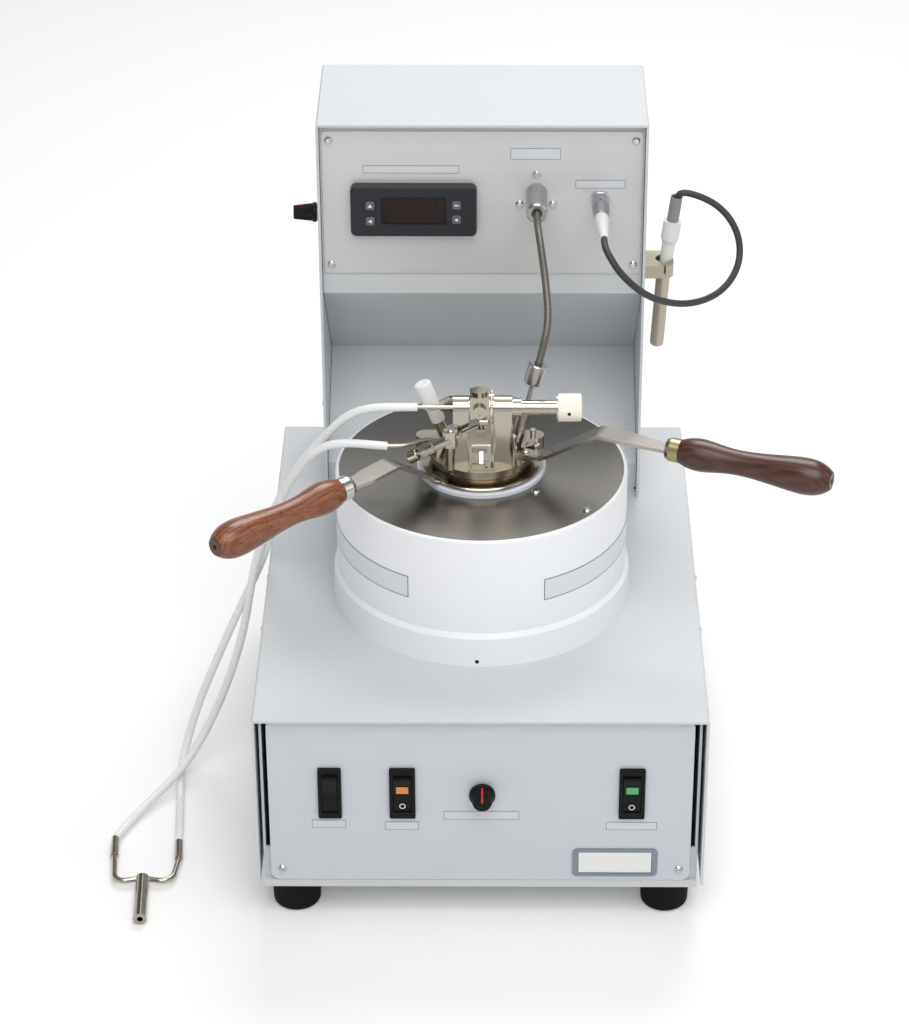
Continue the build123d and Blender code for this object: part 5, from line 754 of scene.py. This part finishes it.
POWDER = coated("powder_coat", paint(207, 210, 212), 0.42, 0.0022, 0.0003, 0.025)
PANEL = coated("panel_paint", paint(205, 210, 216), 0.38, 0.0006, 0.00001, 0.02)
ALUMINIUM = brushed(
    "satin_aluminium", paint(216, 217, 217), 0.42, (0.05, 0.0003, 0.0003), metallic=0.4, bands=0.02
)
JACKET = coated("jacket_plastic", paint(244, 246, 249), 0.34, 0.0012, 0.00001, 0.015)
# The plate's tone round the bath's axis is painted reflection: lighter at the left and the right, darker in
# front of the ring and behind it.
STAINLESS = spun(
    "spun_stainless_painted_reflection", paint(164, 160, 155), 0.3,
    [
        (0.0, 0.98), (0.1, 0.86), (0.17, 0.68), (0.22, 0.84), (0.27, 0.7), (0.36, 0.78), (0.46, 0.92),
        (0.56, 0.84), (0.72, 0.76), (0.88, 0.9), (1.0, 0.98),
    ],
)
STEEL = coated("turned_steel", paint(172, 170, 170), 0.28, 0.0004, 0.000006, 0.06, Metallic=1.0)
SCREW = coated("bright_screw", paint(212, 212, 214), 0.2, 0.0004, 0.000006, 0.06, Metallic=1.0)
NICKEL = coated("polished_nickel", paint(184, 177, 165), 0.15, 0.0005, 0.000005, 0.07, Metallic=1.0)
HOLDER = coated("matt_nickel", paint(186, 177, 160), 0.36, 0.0005, 0.00001, 0.06, Metallic=1.0)
ALLOY = brushed("machined_alloy", paint(198, 200, 202), 0.34, (0.0003, 0.0003, 0.02), bands=0.05)
HEATER = coated("heater_band", paint(150, 146, 138), 0.45, 0.0006, 0.00002, 0.08, Metallic=0.9)
BLACK = coated(
    "black_plastic", paint(11, 11, 12), 0.42, 0.0005, 0.00001, 0.12, Specular_IOR_Level=0.2
)
CHARCOAL = coated(
    "charcoal_case", paint(44, 45, 50), 0.46, 0.0005, 0.00002, 0.08, Specular_IOR_Level=0.3
)
RED = coated("red_plastic", paint(176, 22, 20), 0.3, 0.0005, 0.00001, 0.06)
KEY = coated("grey_key", paint(96, 98, 102), 0.48, 0.0004, 0.00002, 0.05)
RUBBER = coated(
    "foot_rubber", paint(17, 17, 18), 0.8, 0.0007, 0.00004, 0.14, Specular_IOR_Level=0.2
)
BOARD = coated("green_board", paint(32, 104, 62), 0.4, 0.0012, 0.00002, 0.1)
MOTOR = coated("motor_case", paint(108, 111, 116), 0.4, 0.0006, 0.00001, 0.06, Metallic=0.6)
WHITE = coated("white_plastic", paint(238, 238, 236), 0.32, 0.0006, 0.00001, 0.025)
BLUISH = coated("pale_ring", paint(222, 228, 238), 0.34, 0.0006, 0.00001, 0.03)
LABEL = coated("blank_label", paint(212, 215, 219), 0.45, 0.0005, 0.000004, 0.015)
LABEL_EDGE = coated("label_border", paint(118, 120, 124), 0.45, 0.0005, 0.000004, 0.04)
DARK_EDGE = coated("strip_border", paint(92, 94, 98), 0.45, 0.0005, 0.000004, 0.06)
STRIP = coated("blank_strip", paint(226, 229, 233), 0.4, 0.0006, 0.000004, 0.02)
PLATE_RIM = brushed("plate_rim", paint(150, 158, 170), 0.34, (0.02, 0.0003, 0.0003), metallic=0.8)
CREAM = coated("cream_knob", paint(250, 244, 230), 0.4, 0.0004, 0.00001, 0.05)
GLASS = coated(
    "display_glass", paint(24, 12, 10), 0.16, 0.0012, 0.000002, 0.12, Specular_IOR_Level=0.3
)
SEGMENT = coated(
    "unlit_segment", paint(52, 24, 20), 0.4, 0.0008, 0.000002, 0.08, Specular_IOR_Level=0.2
)
AMBER = coated("amber_lens", paint(236, 132, 30), 0.14, 0.001, 0.000004, 0.08, Coat_Weight=0.6)
GREEN = coated("green_lens", paint(58, 178, 92), 0.14, 0.001, 0.000004, 0.08, Coat_Weight=0.6)
MARK = coated("white_mark", paint(240, 240, 238), 0.4, 0.0004, 0.000003, 0.02)
POINTER = coated("red_pointer", paint(214, 34, 28), 0.35, 0.0004, 0.000003, 0.04)
# Black for painted shade: discs that stand for dark holes and for a shaded spot.
SHADE = coated("painted_shade", paint(14, 14, 15), 0.7, 0.0004, 0.000004, 0.1)
HOSE = coated(
    "hose_silicone", paint(250, 251, 252), 0.26, 0.001, 0.00001, 0.01,
    Transmission_Weight=0.1, IOR=1.41,
)
CABLE = coated("cable_jacket", paint(52, 53, 56), 0.55, 0.0006, 0.00002, 0.12)
# The second colour is painted shade for the sheath's grooves.
SHEATH = wound("wound_sheath", paint(138, 133, 126), paint(78, 75, 71), 0.36, 0.8, 0.95)

METAL = paint(188, 190, 194)
PLUG = banded(
    "plug_and_boot", (69.2, 84.0, 340.0), (0, -1, 0), 54.0,
    [(0.0, METAL, 0.28, 1.0), (0.53, paint(238, 239, 239), 0.4, 0.0)],
)
PROBE = banded(
    "probe_finish", PROBE_FOOT, PROBE_AXIS, 45.0,
    [
        (0.0, paint(234, 234, 232), 0.34, 0.0),
        (28.5 / 45, paint(140, 142, 146), 0.45, 0.0),
    ],
)
CUP = banded(
    "cup_finish", (0, 0, 222.0), (0, 0, 1), 10.0,
    [
        (0.0, paint(188, 181, 168), 0.2, 1.0),
        (0.31, paint(150, 128, 100), 0.28, 1.0),
    ],
)


def arm_and_ferrule(name, angle, ferrule_from, color, roughness):
    """A steel arm that turns into the ferrule's metal at a distance from the bath's axis."""
    way = (math.cos(math.radians(angle)), math.sin(math.radians(angle)), 0.0)
    arm_length = 125.0
    bands = [(0.0, paint(178, 173, 166), 0.26, 1.0), (ferrule_from / arm_length, color, roughness, 1.0)]
    return banded(name, (*BATH_CENTRE, 0.0), way, arm_length, bands)


LID_ARM = arm_and_ferrule("lid_arm_and_ferrule", LID_ARM_ANGLE, 112.3, paint(180, 171, 128), 0.3)
CUP_ARM = arm_and_ferrule("cup_arm_and_ferrule", CUP_ARM_ANGLE, 99.3, paint(206, 205, 202), 0.18)
CUP_GRIP = timber(
    "red_timber", paint(118, 66, 40), paint(160, 100, 66), paint(62, 32, 18), CUP_ARM_ANGLE,
    0.3, 195.0, 0.85, 0.011,
)
LID_GRIP = timber(
    "brown_timber", paint(62, 34, 26), paint(104, 60, 42), paint(38, 20, 14), LID_ARM_ANGLE,
    0.34, 208.0, 0.5, 0.03,
)

# Which CAD pieces take which finish. The stopper, knobs and cords at the end are replaced below.
FINISHES = [
    (POWDER, "base_cover base_tray column_cover column_front"),
    (PANEL, "front_panel"),
    (ALUMINIUM, "instrument_panel"),
    (PLATE_RIM, "nameplate"),
    (JACKET, "bath_jacket"),
    (STAINLESS, "bath_top_plate"),
    (STEEL, "drive_coupling stirrer_shaft"),
    (SCREW, "case_screws lid_screws sensor_socket"),
    (
        NICKEL,
        "lid_plate lid_posts side_blocks lid_sockets pilot_burner gas_tubes hose_tee"
        " tilt_shaft jet_carrier shutter valve_knob",
    ),
    (HOLDER, "probe_holder"),
    (ALLOY, "bath_vessel"),
    (HEATER, "bath_heater"),
    (
        BLACK,
        "mains_inlet stirrer_switch_body cold_switch_body main_switch_body side_switch_body"
        " stirrer_rocker cold_rocker main_rocker",
    ),
    (CHARCOAL, "controller_case"),
    (RED, "side_rocker"),
    (KEY, "key_up key_left key_menu key_set"),
    (RUBBER, "base_feet"),
    (BOARD, "control_board"),
    (MOTOR, "stirrer_motor potentiometers"),
    (BLUISH, "insulating_ring"),
    (PLUG, "sensor_plug"),
    (PROBE, "sensor_probe"),
    (CUP, "test_cup"),
    (CUP_ARM, "cup_handle_arm"),
    (LID_ARM, "lid_handle_arm"),
    (CUP_GRIP, "cup_handle_grip"),
    (LID_GRIP, "lid_handle_grip"),
    (WHITE, "thermometer_stopper heating_knob speed_knob"),
    (HOSE, "gas_hoses flexible_shaft sensor_cable"),
]
for finish, members in FINISHES:
    for member in members.split():
        slots = nodes[member].data.materials
        if len(slots):
            slots[0] = finish
        else:
            slots.append(finish)

# ---------------------------------------------------------------- cords


def split_cord(name, route, turn_z, radius, bore, finish, node, upper, lower,
               held=(0.0, 0.0)):
    """Splits a tube where it falls below turn_z into an upper and a lower piece.

    upper and lower, each half's bodies with the one at its low end first, are not used. Nor is held,
    the first and the last millimetres of the whole tube."""
    path = centreline(route)
    cut = int(np.argmax(path[:, 2] < turn_z * MM))
    halves = []
    steps = np.linalg.norm(np.diff(path, axis=0), axis=1)
    along = np.concatenate([[0.0], np.cumsum(steps)])
    head = path[np.searchsorted(along, held[0] * MM)]
    foot = path[np.searchsorted(along, along[-1] - held[1] * MM)]
    for half, part, (low_body, high_body), low_end, high_end in (
        ("upper", path[: cut + 1], upper, path[cut], head),
        ("lower", path[cut:], lower, foot, path[cut]),
    ):
        piece = tube(f"{name}_{half}", part, radius, finish, bore)
        settle(piece, replaces=[node])
        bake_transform(piece)
        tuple(low_end)
        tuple(high_end)
        halves.append((piece, part))
    (top, top_path), (bottom, bottom_path) = halves
    return bottom, bottom_path


for name, route in (("rear_hose", REAR_HOSE_ROUTE), ("front_hose", FRONT_HOSE_ROUTE)):
    bottom, bottom_path = split_cord(
        name, route, HOSE_SPLIT_Z, HOSE_R, HOSE_BORE_R, HOSE, "gas_hoses",
        ("cup", "lid"), ("cabinet", "cup"),
    )

sheath_bottom, sheath_path = split_cord(
    "flexible_shaft", SHAFT_ROUTE, SHAFT_SPLIT_Z, SHAFT_R, None, SHEATH,
    "flexible_shaft", ("cup", "cabinet"), ("lid", "cup"), SHAFT_HELD,
)

cable_path = centreline(CABLE_ROUTE)
cable = settle(
    tube("sensor_cable_line", cable_path, CABLE_R, CABLE),
    replaces=["sensor_cable"],
)
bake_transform(cable)

for name, origin, axis, reach in (
    ("rear_sleeve", (-51.6, -40.0, 268.1), (1, 0, 0), 15.5),
    ("front_sleeve", (-66.6, -46.0, 247.51), (0.9953, 0, -0.0968), 13.5),
):
    settle(
        turned(
            name, origin, axis,
            [
                (0, HOSE_R), (reach - 0.4, HOSE_R), (reach, HOSE_R - 0.3), (reach, HOSE_BORE_R),
                (0, HOSE_BORE_R),
            ],
            [HOSE], 24, True,
        ),
        "lid", ["gas_hoses"],
    )

# ---------------------------------------------------------------- labels and strips

FRONT = ((1, 0, 0), (0, 0, 1), (0, -1, 0))
LABELS = [
    ("panel_label_stirrer", -95.2, -76.1, 63.1, 68.7, PANEL_FACE_Y),
    ("panel_label_cold", -54.0, -34.9, 61.9, 67.6, PANEL_FACE_Y),
    ("panel_label_heat", -20.6, 21.8, 69.2, 75.0, PANEL_FACE_Y),
    ("panel_label_main", 71.0, 99.8, 62.1, 67.6, PANEL_FACE_Y),
    ("column_label_reading", -69.8, -13.5, 356.0, 361.0, INSTRUMENT_FACE_Y),
    ("column_label_drive", 16.5, 45.7, 364.8, 372.1, INSTRUMENT_FACE_Y),
    ("column_label_sensor", 54.6, 83.8, 346.5, 351.8, INSTRUMENT_FACE_Y),
]
for name, left, right, low, high, face in LABELS:
    settle(
        strip(
            name, lay(((left + right) / 2, face, (low + high) / 2), *FRONT), right - left, high - low,
            0.3, [LABEL, LABEL_EDGE],
        ),
        "cabinet",
    )
settle(
    strip(
        "nameplate_field", lay((76.5, -161.4, 39.4), *FRONT), 42.3, 15.0, 0.5, [WHITE, LABEL_EDGE]
    ),
    "cabinet",
)
for name, first, last, low, high in (
    ("bath_strip_left", -95.0, -29.0, 177.0, 191.0),
    ("bath_strip_right", 25.0, 95.0, 177.0, 190.8),
):
    settle(
        strip(
            name, round_bath((first + last) / 2, (low + high) / 2),
            math.radians(last - first) * JACKET_R, high - low, 0.45, [STRIP, DARK_EDGE], 0.15, 32,
        ),
        "cabinet",
    )

# ---------------------------------------------------------------- switches, knobs and lamps

LEAN = math.radians(20.0)
UPPER_HALF = ((1, 0, 0), (0, -math.sin(LEAN), math.cos(LEAN)), (0, -math.cos(LEAN), -math.sin(LEAN)))
for name, x, body, finish in (
    ("cold_lens", COLD_SWITCH_X, "cold_rocker", AMBER),
    ("main_lens", MAIN_SWITCH_X, "main_rocker", GREEN),
):
    y = ROCKER_MIDDLE_Y - LENS_REACH * math.sin(LEAN)
    z = ROCKER_MIDDLE_Z + LENS_REACH * math.cos(LEAN)
    settle(
        strip(name, lay((x, y, z), *UPPER_HALF), 7.4, 7.2, 0.3, [finish, BLACK], 0.3),
        body,
    )
for name, x, z, body in (
    ("cold_ring_mark", COLD_SWITCH_X, 79.3, "cold_rocker"),
    ("main_ring_mark", MAIN_SWITCH_X, 78.8, "main_rocker"),
):
    settle(
        turned(
            name, (x, -162.40, z), (0, -1, 0), [(0.0, 1.75), (0.08, 1.75), (0.08, 1.3), (0.0, 1.3)],
            [MARK], 32, True,
        ),
        body,
    )

# Each knob's node, foot, axis, foot radius, skirt height, height and face radius.
KNOBS = [
    ("heating_knob", HEATING_KNOB_FOOT, (0, -1, 0), 7.35, 2.4, 9.6, 5.29),
    ("speed_knob", SPEED_KNOB_FOOT, (-1, 0, 0), 5.9, 2.0, 13.6, 4.14),
]
for name, origin, axis, base, skirt, height, top in KNOBS:
    profile = [
        (0.0, 0.0), (0.0, base - 0.3), (0.3, base), (skirt, base), (skirt + 0.3, base - 0.35),
        (skirt + 0.5, base - 0.6), (height - 0.7, top + 0.12), (height - 0.2, top - 0.1),
        (height, top - 0.5), (height, top * 0.45), (height - 0.25, top * 0.4), (height - 0.25, 0.0),
    ]
    settle(
        turned(name + "_fluted", origin, axis, profile, [BLACK], 160, ridges=(20, 0.45, 5, 6)),
        name, [name],
    )
settle(
    marks(
        "heating_pointer", lay(HEATING_KNOB_FACE, *FRONT),
        [[(-0.5, 0.6), (0.5, 0.6), (0.5, 4.9), (0.0, 5.2), (-0.5, 4.9)]], POINTER, 0.12,
    ),
    "heating_knob",
)
settle(
    marks(
        "speed_pointer", lay(SPEED_KNOB_FACE, (0, -1, 0), (0, 0, 1), (-1, 0, 0)),
        [[(-0.45, 0.5), (0.45, 0.5), (0.45, 3.6), (-0.45, 3.6)]], POINTER, 0.1,
    ),
    "speed_knob",
)

# Each flank pointer starts a step above the middle of its knob's face and follows the flank's flare.
for name, face, step, flare_degrees, outward, right, body in (
    ("heating_flank_pointer", HEATING_KNOB_FACE, 5.3, 12.6, (0, -1, 0), (1, 0, 0), "heating_knob"),
    ("speed_flank_pointer", SPEED_KNOB_FACE, 4.1, 6.5, (-1, 0, 0), (0, -1, 0), "speed_knob"),
):
    foot = (face[0], face[1], face[2] + step)
    flare = math.radians(flare_degrees)
    up = -math.cos(flare) * np.array(outward) + math.sin(flare) * np.array((0, 0, 1))
    out = math.sin(flare) * np.array(outward) + math.cos(flare) * np.array((0, 0, 1))
    settle(
        marks(
            name, lay(foot, right, up, out), [[(-0.5, -0.1), (0.5, -0.1), (0.45, 6.0), (-0.45, 6.0)]],
            POINTER, 0.16,
        ),
        body,
    )

settle(
    turned(
        "tilt_knob_knurl", (42.7, TRUNNION_Y, TRUNNION_Z), (1, 0, 0),
        [(0.3, 7.6), (0.9, 7.98), (13.0, 7.98), (13.7, 7.6), (13.7, 7.3), (0.3, 7.3)],
        [CREAM], 288, True, (72, 0.22, 1, 2), 50.0,
    ),
    "tilt",
)
settle(
    turned(
        "tilt_knob_ends", (42.6, TRUNNION_Y, TRUNNION_Z), (1, 0, 0),
        [(-0.05, 4.4), (-0.05, 7.1), (0.4, 7.65), (13.6, 7.65), (14.05, 7.1), (14.05, 0.0)],
        [CREAM], 64,
    ),
    "tilt",
)
# Painted shade: a black disc on the knob for its set screw's hole.
settle(
    turned(
        "tilt_knob_set_hole", (49.6, TRUNNION_Y, TRUNNION_Z), (0, -1, 0),
        [(7.2, 0.0), (7.2, 1.0), (8.02, 1.0), (8.05, 0.85), (8.0, 0.0)], [SHADE], 24,
    ),
    "tilt",
)
settle(
    turned(
        "tilt_disc_teeth", (4.6, TRUNNION_Y, TRUNNION_Z), (1, 0, 0),
        [(0.1, 9.2), (0.3, 9.62), (2.0, 9.62), (2.2, 9.2), (2.2, 8.9), (0.1, 8.9)],
        [NICKEL], 240, True, (60, 0.3, 1, 2), 50.0,
    ),
    "tilt",
)

# ---------------------------------------------------------------- stopper, plug, red dot and painted shade

settle(
    turned(
        "stopper_moulded", SOCKET_FOOT, SOCKET_AXIS,
        [
            (18.1, 0.0), (18.1, 3.7), (18.5, 4.1), (27.4, 4.2), (28.0, 4.6), (28.6, 5.0),
            (42.6, 5.0), (43.6, 4.7), (44.1, 4.0), (44.1, 2.2), (43.2, 2.0), (43.2, 0.0),
        ],
        [WHITE], 48,
    ),
    "stopper", ["thermometer_stopper"],
)
settle(
    turned(
        "plug_red_dot", (69.2, 71.0, 340.0 + 4.8), (0, 0, 1),
        [(0.0, 0.0), (0.0, 0.95), (0.25, 0.9), (0.4, 0.6), (0.45, 0.0)], [POINTER], 24,
    ),
    "cabinet",
)
# Painted shade: a black disc at the jacket's foot, where the jacket is only shaded and has no hole.
settle(
    turned(
        "jacket_foot_painted_shade", (-2.2, -109.3, 142.0), (0, -1, 0),
        [(0.0, 0.0), (0.0, 1.2), (0.7, 1.2), (0.75, 1.0), (0.7, 0.0)], [SHADE], 24,
    ),
    "cabinet",
)
# Painted shade: a black disc on the column for a small vent hole's dark inside.
settle(
    turned(
        "column_vent_painted_shade", (94.4, 83.5, 142.1), (0, -1, 0),
        [(0.0, 0.0), (0.0, 0.8), (0.05, 0.8), (0.08, 0.6), (0.06, 0.0)], [SHADE], 20,
    ),
    "cabinet",
)

# ---------------------------------------------------------------- controller display and keys

settle(
    strip(
        "display_window", lay((CONTROLLER_X, 77.1, CONTROLLER_Z), *FRONT), 38.0, 17.0, 0.5,
        [GLASS, BLACK], 0.35,
    ),
    "cabinet",
)


def digit(left, low, wide, tall, bar):
    """Seven bars of one unlit digit, each a six-sided outline along a line between two corners."""
    slant = 0.12
    corners = np.array([(0, 0), (wide, 0), (0, tall / 2), (wide, tall / 2), (0, tall), (wide, tall)])
    corners = corners + np.array([left, low])
    corners[:, 0] += slant * (corners[:, 1] - low)
    outlines = []
    for start, end in ((0, 1), (2, 3), (4, 5), (0, 2), (2, 4), (1, 3), (3, 5)):
        a, b = corners[start], corners[end]
        way = (b - a) / np.linalg.norm(b - a)
        side = np.array([-way[1], way[0]]) * bar / 2
        tip = way * bar * 0.6
        a, b = a + way * 0.1, b - way * 0.1
        outlines.append([a, a + tip - side, b - tip - side, b, b - tip + side, a + tip + side])
    return outlines


outlines = []
for first, pitch, low, wide, tall, bar in (
    (-15.6, 8.0, 0.6, 4.6, 6.6, 0.8),
    (-11.6, 6.4, -7.2, 3.4, 5.0, 0.65),
):
    for column in range(4):
        outlines += digit(first + pitch * column, low, wide, tall, bar)
settle(
    marks(
        "display_digits", lay((CONTROLLER_X, 76.75, CONTROLLER_Z), *FRONT), outlines, SEGMENT, 0.03
    ),
    "cabinet",
)
ARROW_UP = [[(-1.3, -0.9), (1.3, -0.9), (0.0, 1.3)]]
ARROW_LEFT = [[(0.9, -1.3), (0.9, 1.3), (-1.3, 0.0)]]
round_mark = np.arange(20) / 20 * TURN
DOT = [np.stack([0.85 * np.cos(round_mark), 0.85 * np.sin(round_mark)], -1).tolist()]
BAR = [[(-1.3, -0.35), (1.3, -0.35), (1.3, 0.35), (-1.3, 0.35)]]
for name, x, z, outlines in (
    ("key_up", -65.7, 337.9, ARROW_UP),
    ("key_left", -65.7, 328.0, ARROW_LEFT),
    ("key_menu", -15.0, 338.3, BAR),
    ("key_set", -15.0, 329.0, DOT),
):
    settle(
        marks(name + "_mark", lay((x, 75.8, z), *FRONT), outlines, MARK, 0.05), name
    )

# ---------------------------------------------------------------- mains inlet pins


def inlet_pin(name, x, z):
    """A flat pin that runs along y, with a rounded rectangle for its section.

    The section is (width * sgn(cos t) * |cos t| ^ p, height * sgn(sin t) * |sin t| ^ p) round x and z,
    times the share in each row of (y, share)."""
    half_width, half_height, power, sides = 1.06, 2.06, 0.3, 24
    angle = np.arange(sides) / sides * TURN
    shape = np.stack(
        [
            half_width * np.sign(np.cos(angle)) * np.abs(np.cos(angle)) ** power,
            half_height * np.sign(np.sin(angle)) * np.abs(np.sin(angle)) ** power,
        ],
        -1,
    )
    rows = np.array([[149.8, 0.0], [149.8, 1.0], [160.6, 1.0], [161.7, 0.8], [161.8, 0.0]])
    points = np.stack(
        [
            x + rows[:, 1:] * shape[None, :, 0],
            rows[:, :1] + np.zeros_like(shape[None, :, 0]),
            z + rows[:, 1:] * shape[None, :, 1],
        ],
        -1,
    )
    faces, _, _ = grid_faces(len(rows), sides, False, True)
    settle(make_mesh(name, points * MM, faces, [SCREW]), "cabinet")


inlet_pin("inlet_pin_left", -87.0, 70.0)
inlet_pin("inlet_pin_right", -73.0, 70.0)
inlet_pin("inlet_pin_earth", -80.0, 74.0)

bpy.context.view_layer.update()
